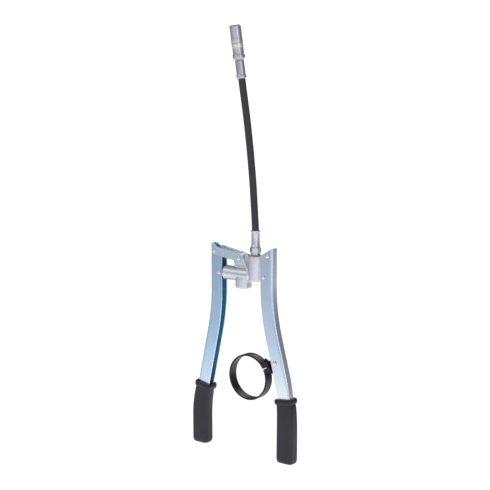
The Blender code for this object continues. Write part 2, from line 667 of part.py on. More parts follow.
def make_pump():
    frame = along(Vector((PUMP_LEFT, 0, PUMP_Z)), Vector((1, 0, 0)))
    inner = PLUNGER_RADIUS + GAP
    seal_start = GAP + BUSH_LENGTH
    bush = ring_profile(inner, BUSH_RADIUS, 0, BUSH_LENGTH)
    seal = ring_profile(inner, BUSH_RADIUS, seal_start, seal_start + SEAL_LENGTH)
    turned("plunger_bush", bush, frame, brass, root, closed=True, sides=24)
    turned("plunger_seal", seal, frame, rubber, root, closed=True, sides=24)
    eye_end = PLUNGER_PIN + Vector((PLUNGER_EYE, 0, 0))
    tip = Vector((PLUNGER_TIP, 0, PUMP_Z))
    plunger = rod("plunger", PLUNGER_RADIUS, eye_end - Vector((2 * MM, 0, 0)), tip, steel, plunger_pivot)
    half = CHANNEL_INSIDE - GAP
    eye = arc((PLUNGER_PIN.x, PLUNGER_PIN.z), PLUNGER_EYE, 0, 2 * pi - pi / 8, 15)
    slot_radius = RIVET_RADIUS + PIN_PLAY + 0.1 * MM
    slot = (arc((PLUNGER_PIN.x, PLUNGER_PIN.z + EYE_SLOT_RISE), slot_radius, 0, pi, 8)
            + arc((PLUNGER_PIN.x, PLUNGER_PIN.z - EYE_SLOT_RISE), slot_radius, pi, 2 * pi, 8))
    join(plunger, plate("plunger_eye", eye, -half, half))
    cut(plunger, plate("plunger_slot", slot, -CHANNEL_WIDTH, CHANNEL_WIDTH))


def spring(name, frame, radius, low, high, turns, mat, pivot=None):
    """A coil of wire about a frame's Z axis, with its ends left square."""
    curve = bpy.data.curves.new(name, "CURVE")
    curve.dimensions = "3D"
    curve.bevel_depth = SPRING_WIRE
    curve.bevel_resolution = 1
    curve.use_fill_caps = True
    steps = turns * 10
    spline = curve.splines.new("POLY")
    spline.points.add(steps)
    for i, point in enumerate(spline.points):
        angle = 2 * pi * i / 10
        height = low + SPRING_WIRE + (high - low - 2 * SPRING_WIRE) * i / steps
        point.co = (radius * cos(angle), radius * sin(angle), height, 1)
    return solid_from_curve(name, curve, frame, mat, pivot)


def make_outlet_valve():
    rise = BALL_RADIUS ** 2 - BALL_SEAT_RADIUS ** 2
    centre = Vector((OUTLET_X, 0, VALVE_SEAT + rise ** 0.5 + GAP))
    bm = bmesh.new()
    place = Matrix.Translation(centre)
    bmesh.ops.create_uvsphere(bm, u_segments=16, v_segments=10, radius=BALL_RADIUS, matrix=place)
    mesh = mesh_of(bm, "valve_ball")
    shade(mesh)
    add("valve_ball", mesh, steel, ball_pivot)
    frame = Matrix.Translation((OUTLET_X, 0, 0))
    low, high = centre.z + BALL_RADIUS + GAP, OUTLET_TOP - THREAD_DEPTH - GAP
    spring("valve_spring", frame, VALVE_RADIUS - SPRING_WIRE - 2 * GAP, low, high, 4, steel)


# Hose fitting, hose and coupler


def make_hose_fitting():
    axis = Matrix.Translation((OUTLET_X, 0, 0))
    washer = ring_profile(THREAD_RADIUS + GAP, COLLAR_RADIUS, OUTLET_TOP + GAP, OUTLET_TOP + GAP + WASHER_HEIGHT)
    turned("sealing_washer", washer, axis, copper, root, closed=True, sides=24)
    low = OUTLET_TOP - THREAD_DEPTH
    tail_top = HEX_TOP + TAIL_HEIGHT
    fitting = [(0, tail_top), (TAIL_RADIUS, tail_top), (TAIL_RADIUS, HEX_BASE + 2 * MM),
               (COLLAR_RADIUS, HEX_BASE + 2 * MM), (COLLAR_RADIUS, FITTING_BASE), (THREAD_RADIUS, FITTING_BASE),
               (THREAD_RADIUS, low), (0, low)]
    fitting = turned("hose_fitting", fitting, axis, bright_steel, root, sides=24)
    centre = Vector((OUTLET_X, 0, 0))
    corner = HEX_ACROSS / 2 / cos(pi / 6)
    join(fitting, rod("hex", corner, centre + UP * HEX_BASE, centre + UP * HEX_TOP, sides=6))
    cut(fitting, rod("fitting_bore", BORE_RADIUS, centre + UP * (low - 1 * MM), centre + UP * (tail_top + 1 * MM)))

    bottom = HEX_TOP + GAP
    top = bottom + FERRULE_LENGTH
    inside = HOSE_RADIUS + GAP
    step = HOSE_START.z - GAP
    lip = FERRULE_RADIUS + FERRULE_LIP
    ferrule = [(FERRULE_RADIUS, top - 2.6 * MM), (FERRULE_RADIUS, bottom + 2.4 * MM), (lip, bottom + 1.2 * MM),
               (lip, bottom), (TAIL_RADIUS + GAP, bottom), (TAIL_RADIUS + GAP, step), (inside, step),
               (inside, top), (lip - 0.3 * MM, top), (lip, top - 0.6 * MM), (lip, top - 1.6 * MM)]
    turned("lower_ferrule", ferrule, axis, bright_steel, root, closed=True)


def hose_points():
    """Points on one smooth curve through the route, and its direction at the far end."""
    route = [HOSE_START] + HOSE_ROUTE
    before = route[0] - UP * (route[1] - route[0]).length
    after = route[-1] * 2 - route[-2]
    knots = [before] + route + [after]
    points = []
    for a, b, c, d in zip(knots, knots[1:], knots[2:], knots[3:]):
        for i in range(HOSE_STEPS):
            t = i / HOSE_STEPS
            points.append(0.5 * (2 * b + (c - a) * t + (2 * a - 5 * b + 4 * c - d) * t ** 2
                                 + (3 * b - a - 3 * c + d) * t ** 3))
    points.append(route[-1])
    return points, (after - route[-2]).normalized()


def make_hose():
    points, direction = hose_points()
    curve = bpy.data.curves.new("hose", "CURVE")
    curve.dimensions = "3D"
    curve.bevel_depth = HOSE_RADIUS
    curve.bevel_resolution = 3
    curve.use_fill_caps = True
    spline = curve.splines.new("POLY")
    spline.points.add(len(points) - 1)
    for point, place in zip(spline.points, points):
        point.co = (*place, 1)
    solid_from_curve("hose", curve, Matrix(), hose_rubber)
    return along(points[-1] - direction * HOSE_IN_FERRULE, direction)


def make_coupler(axis):
    """The coupler's pieces on one axis, whose origin is the lower end of the upper ferrule."""
    body_base = UPPER_FERRULE_LENGTH + GAP
    stub_top = body_base + STUB_LENGTH
    inside = HOSE_RADIUS + GAP
    step = HOSE_IN_FERRULE + GAP
    ferrule = [(STUB_RADIUS, stub_top), (STUB_RADIUS, UPPER_FERRULE_LENGTH),
               (UPPER_FERRULE_RADIUS, UPPER_FERRULE_LENGTH), (UPPER_FERRULE_RADIUS, END_RING_HEIGHT + 0.7 * MM),
               (END_RING_RADIUS, END_RING_HEIGHT), (END_RING_RADIUS, 0.8 * MM), (END_RING_RADIUS - 0.7 * MM, 0),
               (inside, 0), (inside, step), (BORE_RADIUS, step), (BORE_RADIUS, stub_top)]
    turned("upper_ferrule", ferrule, axis, bright_steel, root, closed=True)

    shoulder_top = body_base + SHOULDER_HEIGHT
    ring_base = shoulder_top + BODY_HEIGHT
    ring_top = ring_base + RING_HEIGHT
    spigot_top = ring_top + SPIGOT_HEIGHT
    chamber = stub_top + 3 * MM
    body = [(SPIGOT_RADIUS, spigot_top), (SPIGOT_RADIUS, ring_top), (RING_RADIUS, ring_top),
            (RING_RADIUS, ring_base), (BODY_RADIUS, ring_base - 0.5 * MM), (BODY_RADIUS, shoulder_top),
            (SHOULDER_RADIUS, shoulder_top - 1 * MM), (SHOULDER_RADIUS, body_base + 3 * MM),
            (UPPER_FERRULE_RADIUS, body_base), (STUB_RADIUS + GAP, body_base), (STUB_RADIUS + GAP, stub_top + GAP),
            (BORE_RADIUS, stub_top + GAP), (BORE_RADIUS, chamber), (SPRING_ROOM, chamber), (SPRING_ROOM, spigot_top)]
    turned("coupler_body", body, axis, bright_steel, root, closed=True)

    cap_base = ring_top + GAP
    cap_top = cap_base + CAP_HEIGHT
    piston_radius = SPRING_ROOM - GAP
    seal_top = cap_top - JAW_LENGTH - GAP
    seal_base = seal_top - NOSE_SEAL
    piston_top = seal_base - GAP
    piston_base = piston_top - PISTON_LENGTH
    thread = SPIGOT_RADIUS + GAP
    cone_base = cap_top - 4 * MM
    cap = [(CAP_RADIUS - 1.2 * MM, cap_top), (CAP_RADIUS, cap_top - 1.5 * MM), (CAP_RADIUS, cap_base),
           (thread, cap_base), (thread, cone_base), (MOUTH_RADIUS, cap_top)]
    turned("coupler_cap", cap, axis, bright_steel, root, closed=True)

    turned("coupler_piston", ring_profile(BORE_RADIUS, piston_radius, piston_base, piston_top), axis, steel,
           jaw_pivot, closed=True, sides=24)
    turned("coupler_seal", ring_profile(BORE_RADIUS, piston_radius, seal_base, seal_top), axis, rubber,
           jaw_pivot, closed=True, sides=24)
    jaw_base = cap_top - JAW_LENGTH
    play = GAP / cos(pi / 8)
    jaws = [(MOUTH_RADIUS - play, cap_top - 0.5 * MM), (thread - play, cone_base - 0.5 * MM),
            (thread - play, jaw_base), (JAW_BORE, jaw_base), (JAW_BORE, cap_top - 2.2 * MM),
            (JAW_BORE + 0.8 * MM, cap_top - 0.5 * MM)]
    jaws = turned("coupler_jaws", jaws, axis, steel, jaw_pivot, closed=True)
    reach = CAP_RADIUS
    for name, turn in (("jaw_slit_a", 0.0), ("jaw_slit_b", pi / 2)):
        cut(jaws, block(name, (-reach, -JAW_SLIT / 2, jaw_base + 3 * MM), (reach, JAW_SLIT / 2, cap_top + 1 * MM),
                        frame=axis @ Matrix.Rotation(turn, 4, "Z")))
    spring("coupler_spring", axis, SPRING_ROOM - SPRING_WIRE - GAP, chamber + GAP, piston_base - GAP, 5, steel)


# Barrel clamp


def make_clamp():
    """The ring, its bolt and its hanger, on a frame whose X axis runs from the ring's centre to the rivet."""
    outwards = (clamp_rivet - clamp_centre).normalized()
    sideways = Vector((-outwards.z, 0, outwards.x))
    turn = Matrix((outwards, ACROSS, sideways)).transposed().to_4x4()
    frame = Matrix.Translation(clamp_centre) @ turn
    screw_at = BAND_OUTER + EAR_HEIGHT / 2
    make_band(frame, screw_at)
    make_clamp_screw(frame, screw_at)
    make_hanger(frame, screw_at)


def make_band(frame, screw_at):
    """The split ring, whose two ears close round the swivel's eye."""
    half = BAND_WIDTH / 2
    split = BAND_SPLIT / 2
    room = EYE_ROOM / 2
    past = 1 * MM
    profile = ring_profile(BAND_INNER, BAND_OUTER, -half, half)
    band = turned("clamp_band", profile, along(clamp_centre, -ACROSS), black_steel, swivel_pivot,
                  closed=True, sides=72)
    cut(band, block("band_split", (BAND_INNER / 2, -half - past, -split), (EAR_TOP, half + past, split), frame=frame))
    ear_low = BAND_OUTER - BAND_SHEET * 0.8
    thick = room + EAR_SHEET
    for name, low, high in (("ear_upper", split, thick), ("ear_lower", -thick, -split)):
        join(band, block(name, (ear_low, -half, low), (EAR_TOP, half, high), frame=frame))
    reach = EYE_RADIUS + EYE_PLAY
    cut(band, block("eye_room", (screw_at - reach, -reach, -room), (EAR_TOP + past, reach, room), frame=frame),
        screw_hole("ear_holes", (screw_at, 0, -2 * thick), (screw_at, 0, 2 * thick), frame))


def screw_hole(name, start, end, frame):
    return rod(name, CLAMP_SCREW_RADIUS + PIN_PLAY, start, end, frame=frame, sides=16)


def make_clamp_screw(frame, screw_at):
    near = EYE_ROOM / 2 + EAR_SHEET + GAP
    far = near + CLAMP_HEAD_HEIGHT
    tail = far + GAP + CLAMP_SCREW_TAIL
    into_head = 0.5 * MM
    screw = rod("clamp_screw", CLAMP_SCREW_RADIUS, (screw_at, 0, -near - into_head), (screw_at, 0, tail),
                black_steel, screw_pivot, frame, sides=16)
    join(screw, rod("clamp_screw_head", CLAMP_HEAD_RADIUS, (screw_at, 0, -far), (screw_at, 0, -near), frame=frame))
    nut = rod("clamp_nut", CLAMP_HEAD_RADIUS, (screw_at, 0, near), (screw_at, 0, far),
              black_steel, swivel_pivot, frame, sides=6)
    cut(nut, screw_hole("nut_bore", (screw_at, 0, 0), (screw_at, 0, 2 * tail), frame))


def make_hanger(frame, screw_at):
    """The bolt that the ring swivels on, and the U-shaped hanger inside the channel that carries it."""
    plate_low = CLAMP_REACH - HANGER_REACH
    plate_high = plate_low + 1.5 * HANGER_SHEET
    head_base = plate_high + GAP
    head_top = head_base + 1.2 * MM
    outside = CHANNEL_INSIDE - GAP
    eye_half = EYE_ROOM / 2 - GAP
    bolt = rod("swivel_bolt", CLAMP_SCREW_RADIUS, (screw_at + 2 * MM, 0, 0), (head_top, 0, 0), black_steel,
               swivel_pivot, frame, sides=16)
    join(bolt, rod("swivel_eye", EYE_RADIUS, (screw_at, 0, -eye_half), (screw_at, 0, eye_half), frame=frame),
         rod("swivel_head", outside - HANGER_SHEET - 2 * GAP, (head_base, 0, 0), (head_top, 0, 0), frame=frame))
    cut(bolt, screw_hole("swivel_eye_hole", (screw_at, 0, -2 * eye_half), (screw_at, 0, 2 * eye_half), frame))

    width = HANGER_WIDTH / 2
    inset = 0.4 * MM
    arm_end = CLAMP_REACH + 3.6 * MM
    hanger = block("clamp_hanger", (plate_low, -outside, -width), (plate_high, outside, width),
                   black_steel, hanger_pivot, frame)
    for name, low in (("hanger_arm_front", -outside), ("hanger_arm_back", outside - HANGER_SHEET)):
        join(hanger, block(name, (plate_low + inset, low, -width + inset),
                           (arm_end, low + HANGER_SHEET, width - inset), frame=frame))
    hole_radius = HANGER_RIVET_RADIUS + PIN_PLAY
    cut(hanger, screw_hole("hanger_bolt_hole", (screw_at, 0, 0), (head_top, 0, 0), frame),
        rod("hanger_rivet_hole", hole_radius, (CLAMP_REACH, -HALF_WIDTH, 0), (CLAMP_REACH, HALF_WIDTH, 0),
            frame=frame, sides=16))
    rivet("hanger_rivet", clamp_rivet, HALF_WIDTH + GAP, root, HANGER_RIVET_RADIUS, HANGER_HEAD_PROUD, 0.8 * MM)


clear_scene()
parts = new_collection("grease_gun")
tools = new_collection("cutters")

zinc = material("zinc_plated_steel", (0.42, 0.50, 0.60), 0.32, 0.9)
cast_metal = material("cast_metal", (0.56, 0.57, 0.60), 0.45, 0.9)
rivet_steel = material("rivet_steel", (0.72, 0.70, 0.66), 0.35, 0.9)
bright_steel = material("bright_steel", (0.55, 0.56, 0.62), 0.3, 0.95)
steel = material("plain_steel", (0.45, 0.45, 0.47), 0.35, 0.95)
brass = material("brass", (0.62, 0.45, 0.18), 0.35, 0.95)
copper = material("washer_metal", (0.5, 0.49, 0.47), 0.5, 0.8)
rubber = material("seal_rubber", (0.02, 0.02, 0.02), 0.7, 0.0)
hose_rubber = material("hose_rubber", (0.045, 0.043, 0.055), 0.6, 0.0)
grip_plastic = material("grip_plastic", (0.04, 0.038, 0.048), 0.45, 0.0)
black_steel = material("black_plated_steel", (0.02, 0.019, 0.023), 0.4, 0.3)

fixed_line = handle_line(FIXED_STRAIGHT, FIXED_LEAN, FIXED_SLANT)
moving_line = handle_line(MOVING_STRAIGHT, MOVING_LEAN, MOVING_SLANT)
clamp_rivet = clear_of_web(fixed_line, CLAMP_RIVET_IN, CLAMP_RIVET_DROP)
clamp_centre = clamp_rivet - CLAMP_REACH * Vector((cos(CLAMP_LEAN), 0, sin(CLAMP_LEAN)))
grip_centre = clear_of_web(fixed_line, GRIP_CENTRE_IN, HANDLE_LENGTH + FIXED_GRIP_PAST - FIXED_GRIP_LENGTH / 2)

root = new_pivot("drawing_frame", Vector())
root.location = -grip_centre
link_pivot = new_pivot("link_pivot", LINK_HEAD_PIN, root)
handle_pivot = new_pivot("handle_pivot", HANDLE_PIN, link_pivot)
plunger_pivot = new_pivot("plunger_pivot", PLUNGER_PIN, root)
ball_pivot = new_pivot("ball_pivot", Vector((OUTLET_X, 0, VALVE_SEAT)), root)
hanger_pivot = new_pivot("hanger_pivot", clamp_rivet, root)
swivel_pivot = new_pivot("swivel_pivot", clamp_centre, hanger_pivot)
screw_pivot = new_pivot("screw_pivot", clamp_centre, swivel_pivot)
jaw_pivot = new_pivot("jaw_pivot", HOSE_ROUTE[-1], root)

make_handles()
make_link()
make_head()
make_pump()
make_outlet_valve()
make_hose_fitting()
coupler_axis = make_hose()
make_coupler(coupler_axis)
make_clamp()
bpy.context.view_layer.update()
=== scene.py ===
"""Looks of a two-hand lever grease gun: pressed zinc-plated handles, cast head, rubber hose and coupler.

Sizes are in metres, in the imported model's frame. Shapes that are drawn again use the drawing frame:
X = 0 midway between the handles, Z = 0 at their top and Y = 0 in the middle of their thickness.
"""

import json
from math import atan2, cos, hypot, pi, radians, sin, tan

import bmesh
import bpy
from mathutils import Matrix, Vector

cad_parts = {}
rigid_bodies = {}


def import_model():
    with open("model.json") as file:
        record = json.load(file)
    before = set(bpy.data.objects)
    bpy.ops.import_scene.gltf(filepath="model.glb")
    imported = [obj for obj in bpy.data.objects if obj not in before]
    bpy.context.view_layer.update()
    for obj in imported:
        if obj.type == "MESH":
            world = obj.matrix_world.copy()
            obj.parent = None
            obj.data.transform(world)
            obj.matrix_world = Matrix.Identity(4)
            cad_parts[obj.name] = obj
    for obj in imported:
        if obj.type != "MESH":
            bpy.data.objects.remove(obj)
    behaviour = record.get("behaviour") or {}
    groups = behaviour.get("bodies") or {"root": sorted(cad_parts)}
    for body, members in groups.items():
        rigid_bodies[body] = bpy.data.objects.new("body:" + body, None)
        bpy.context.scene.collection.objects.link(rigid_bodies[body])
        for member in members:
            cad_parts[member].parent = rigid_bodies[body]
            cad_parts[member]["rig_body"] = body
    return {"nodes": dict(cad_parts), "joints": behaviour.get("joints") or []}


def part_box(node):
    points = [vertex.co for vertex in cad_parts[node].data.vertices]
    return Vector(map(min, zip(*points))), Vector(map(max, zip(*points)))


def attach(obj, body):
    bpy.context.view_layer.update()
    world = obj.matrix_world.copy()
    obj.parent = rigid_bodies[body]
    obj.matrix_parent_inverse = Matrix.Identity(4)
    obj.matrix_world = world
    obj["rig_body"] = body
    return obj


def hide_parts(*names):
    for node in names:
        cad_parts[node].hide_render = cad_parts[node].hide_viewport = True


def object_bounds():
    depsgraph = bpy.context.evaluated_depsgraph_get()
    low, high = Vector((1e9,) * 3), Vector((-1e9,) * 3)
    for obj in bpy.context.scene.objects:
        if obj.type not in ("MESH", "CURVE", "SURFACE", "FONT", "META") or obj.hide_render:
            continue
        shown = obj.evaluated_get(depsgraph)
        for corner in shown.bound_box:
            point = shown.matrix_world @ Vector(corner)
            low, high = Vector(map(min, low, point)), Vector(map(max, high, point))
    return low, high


MM = 0.001

# Camera
CAMERA_PLACE = Vector((808.0 * MM, -1166.6 * MM, 456.1 * MM))
CAMERA_TARGET = Vector((-71.1 * MM, 0, 247.4 * MM))
CAMERA_LENS = 79.71          # on a 36 mm sensor

# Studio: brightness against the direction, from -1 away from the camera to 1 towards it, and from
# -1 straight down to 1 straight up
STUDIO_FRONT = [(-1.0, 0.12), (-0.3, 0.18), (0.25, 0.22), (1.0, 0.60)]
STUDIO_BELOW = [
    (-1.0, 0.35), (-0.33, 1.40), (-0.22, 0.40), (-0.13, 0.14),
    (-0.04, 0.06), (0.5, 0.08), (1.0, 0.30),
]
FLOOR_RADIUS = 0.4
FLOOR_DROP = 0.25            # below the grips, because a hand holds the gun

# Handles
CHANNEL_DEPTH = 19.5 * MM
SHEET = 1.8 * MM
FOLD_RADIUS = 3.0 * MM
HANDLE_SPAN = 105.0 * MM
HANDLE_LENGTH = 284.0 * MM
UPPER_BEND_RADIUS = 280.0 * MM
LOWER_BEND_RADIUS = 220.0 * MM
TOP_CUT_START = 0.6 * MM
TOP_CUT = [                  # depth from the outside of the web, and how far the flange drops there
    (-1.0 * MM, 0.0),
    (3.5 * MM, 2.0 * MM),
    (7.9 * MM, 4.9 * MM),
    (13.5 * MM, 8.2 * MM),
    (19.5 * MM, 12.1 * MM),
]
TOP_ZONE = 16.0 * MM         # below the top, where the rows level out again
SHEET_EDGE = 0.35 * MM       # rounding of the sheet's cut edges
PAINTED_SHEEN_HEIGHTS = (0.03, 0.115)    # heights between which a painted sheen turns the plating paler towards the grips, in metres
FIXED = {"side": 1, "straight": 50 * MM, "lean": radians(14.8), "slant": 52 * MM}
MOVING = {"side": -1, "straight": 62 * MM, "lean": radians(12.4), "slant": 85 * MM}

# Grips
GRIP_OUTER_WALL = 1.7 * MM
GRIP_BULGE = 2.4 * MM
GRIP_FLARE = 0.6 * MM
GRIP_INNER_WALL = 2.2 * MM
GRIP_SIDE_WALL = 2.5 * MM
GRIP_CORNER = 5.0 * MM
GRIP_END_START = 0.93
GRIP_END_ROUND = 2.4 * MM
COLLAR_HEIGHT = 7.5 * MM
COLLAR_PROUD = 2.2 * MM
FIXED_GRIP = (-202.3 * MM, -292.5 * MM)     # top and bottom
MOVING_GRIP = (-199.8 * MM, -291.0 * MM)
GAP = 0.3 * MM

# Head
CAST_GRAIN = 0.4 * MM        # size of the casting's mesh
CAST_SOFTENING = 22
PARTING_WIDTH = 0.45 * MM
PARTING_PROUD = 0.12 * MM
PLUNGER_RADIUS = 4.0 * MM
SPRING_WIRE = 0.35 * MM      # radius
PIN_SHANK = 2.2 * MM         # radius
PIN_SHANKS = {"hanger_rivet": 1.6 * MM}
PIN_HEAD_HEIGHT = 1.2 * MM
HANGER_HEAD_HEIGHT = 0.8 * MM

# Lower fitting
THREAD_RADIUS = 5.0 * MM
FITTING_COLLAR = 2.1 * MM    # height
COLLAR_RADIUS = 6.8 * MM
HEX_ACROSS = 13.6 * MM
HEX_HEIGHT = 7.4 * MM
BORE_RADIUS = 1.5 * MM
TAIL_RADIUS = 2.6 * MM
FERRULE_RADIUS = 5.6 * MM
CRIMP_DEPTH = 0.22 * MM

# Coupler
UPPER_FERRULE_RADIUS = 5.9 * MM
UPPER_FERRULE_LENGTH = 23.5 * MM
END_RING_HEIGHT = 4.6 * MM
STUB_RADIUS = 4.5 * MM
SHOULDER_HEIGHT = 7.8 * MM
BODY_RADIUS = 7.3 * MM
BODY_HEIGHT = 9.5 * MM
RING_RADIUS = 7.7 * MM
RING_HEIGHT = 5.0 * MM
SPIGOT_RADIUS = 6.2 * MM
SPRING_ROOM = 4.6 * MM
CAP_MOUTH_RIM = 6.3 * MM
CAP_BANDS = 5
CAP_BAND_PITCH = 2.6 * MM
CAP_BAND_DEPTH = 0.06 * MM
MOUTH_RADIUS = 5.0 * MM
JAW_BORE = 3.4 * MM
JAW_SLIT_ANGLE = radians(5.5)

# Barrel clamp
CLAMP_HEAD_HEIGHT = 2.6 * MM
SOCKET_RADIUS = 1.6 * MM
SCREW_CORE = 1.35 * MM
THREAD_PITCH = 0.7 * MM
THREAD_WIRE = 0.28 * MM       # radius of the wire that stands for the thread

# Hose
HOSE_RADIUS = 4.8 * MM
HOSE_ROUTE = [               # drawing frame, from the lower fitting to the coupler
    Vector((20.3 * MM, 0, 3.3 * MM)),
    Vector((20.2 * MM, -0.3 * MM, 24.0 * MM)),
    Vector((19.3 * MM, -2.5 * MM, 62.7 * MM)),
    Vector((18.7 * MM, -4.5 * MM, 89.6 * MM)),
    Vector((17.3 * MM, -8.4 * MM, 130.0 * MM)),
    Vector((15.5 * MM, -12.9 * MM, 169.4 * MM)),
    Vector((13.2 * MM, -18.2 * MM, 208.7 * MM)),
    Vector((11.8 * MM, -21.9 * MM, 234.8 * MM)),
]
HOSE_STEPS = 12              # rings for each stretch of the route
HOSE_SIDES = 40
HOSE_IN_FERRULE = 11.1 * MM

ACROSS = Vector((0, 1, 0))
UP = Vector((0, 0, 1))

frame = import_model()
cad_low, cad_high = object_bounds()
nodes = frame["nodes"]
scene = bpy.context.scene


def middle(node):
    low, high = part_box(node)
    return (low + high) / 2


handle_low, handle_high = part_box("fixed_handle")
DRAWING = Vector(((middle("plunger_pin").x + middle("head_rivet_lower").x) / 2, 0, handle_high.z))
HALF_WIDTH = (handle_high.y - handle_low.y) / 2


# Camera, light and floor


def make_camera():
    data = bpy.data.cameras.new("camera")
    data.sensor_width = 36
    data.lens = CAMERA_LENS
    camera = bpy.data.objects.new("camera", data)
    camera.location = CAMERA_PLACE
    camera.rotation_euler = (CAMERA_TARGET - CAMERA_PLACE).to_track_quat("-Z", "Y").to_euler()
    scene.collection.objects.link(camera)
    scene.camera = camera


def area_light(name, place, target, size, energy, colour=(1, 1, 1)):
    data = bpy.data.lights.new(name, "AREA")
    data.shape = "RECTANGLE"
    data.size, data.size_y = size
    data.energy = energy
    data.color = colour
    light = bpy.data.objects.new(name, data)
    light.location = place
    light.visible_camera = False
    light.rotation_euler = (Vector(target) - Vector(place)).to_track_quat("-Z", "Y").to_euler()
    scene.collection.objects.link(light)


def world_value(tree, source, stops):
    """A grey ramp of (position, brightness) stops over a value from -1 to 1."""
    spread = tree.nodes.new("ShaderNodeMapRange")
    spread.inputs["From Min"].default_value = -1
    ramp = tree.nodes.new("ShaderNodeValToRGB")
    elements = ramp.color_ramp.elements
    while len(elements) < len(stops):
        elements.new(0.5)
    for element, (position, grey) in zip(elements, stops):
        element.position = (position + 1) / 2
        element.color = (grey, grey, grey * 1.02, 1)
    tree.links.new(source, spread.inputs["Value"])
    tree.links.new(spread.outputs["Result"], ramp.inputs["Fac"])
    return ramp.outputs["Color"]


def make_world():
    """A soft studio, with most light from in front and from below, and a plain white backdrop."""
    world = bpy.data.worlds.new("studio")
    scene.world = world
    world.use_nodes = True
    tree = world.node_tree
    studio = tree.nodes["Background"]
    place = tree.nodes.new("ShaderNodeTexCoord")
    split = tree.nodes.new("ShaderNodeSeparateXYZ")
    facing = tree.nodes.new("ShaderNodeVectorMath")
    facing.operation = "DOT_PRODUCT"
    facing.inputs[1].default_value = (CAMERA_PLACE - CAMERA_TARGET).normalized()
    tree.links.new(place.outputs["Generated"], split.inputs[0])
    tree.links.new(place.outputs["Generated"], facing.inputs[0])
    front = world_value(tree, facing.outputs["Value"], STUDIO_FRONT)
    below = world_value(tree, split.outputs["Z"], STUDIO_BELOW)
    both = tree.nodes.new("ShaderNodeMix")
    both.data_type = "RGBA"
    both.blend_type = "ADD"
    both.inputs[0].default_value = 1.0
    tree.links.new(front, both.inputs[6])
    tree.links.new(below, both.inputs[7])
    tree.links.new(both.outputs[2], studio.inputs["Color"])
    backdrop = tree.nodes.new("ShaderNodeBackground")
    backdrop.inputs["Color"].default_value = (1, 1, 1, 1)
    backdrop.inputs["Strength"].default_value = 1.1
    path = tree.nodes.new("ShaderNodeLightPath")
    either = tree.nodes.new("ShaderNodeMixShader")
    tree.links.new(path.outputs["Is Camera Ray"], either.inputs[0])
    tree.links.new(studio.outputs[0], either.inputs[1])
    tree.links.new(backdrop.outputs[0], either.inputs[2])
    tree.links.new(either.outputs[0], tree.nodes["World Output"].inputs["Surface"])


def make_floor():
    bm = bmesh.new()
    bmesh.ops.create_circle(bm, cap_ends=True, segments=96, radius=FLOOR_RADIUS)
    bmesh.ops.translate(bm, vec=(DRAWING.x, 0, cad_low.z - FLOOR_DROP), verts=bm.verts)
    mesh = bpy.data.meshes.new("floor")
    bm.to_mesh(mesh)
    bm.free()
    floor = bpy.data.objects.new("floor", mesh)
    scene.collection.objects.link(floor)
    mat = bpy.data.materials.new("pale_floor")
    mat.use_nodes = True
    shader = mat.node_tree.nodes["Principled BSDF"]
    shader.inputs["Base Color"].default_value = (0.88, 0.88, 0.88, 1)
    shader.inputs["Roughness"].default_value = 0.9
    shader.inputs["Emission Color"].default_value = (1, 1, 1, 1)
    shader.inputs["Emission Strength"].default_value = 0.55
    mesh.materials.append(mat)


def make_studio():
    scene.view_settings.view_transform = "Standard"
    make_world()
    make_floor()
    area_light("key", (-0.9, -1.3, 1.3), (0, 0, 0.2), (0.9, 0.9), 6, (1.0, 0.99, 0.97))
    area_light("side", (1.5, -0.6, 0.7), (0, 0, 0.2), (0.5, 1.4), 4, (0.93, 0.96, 1.0))
    area_light("back", (-0.4, 1.4, 1.1), (0, 0, 0.2), (1.0, 0.7), 4)


# Materials


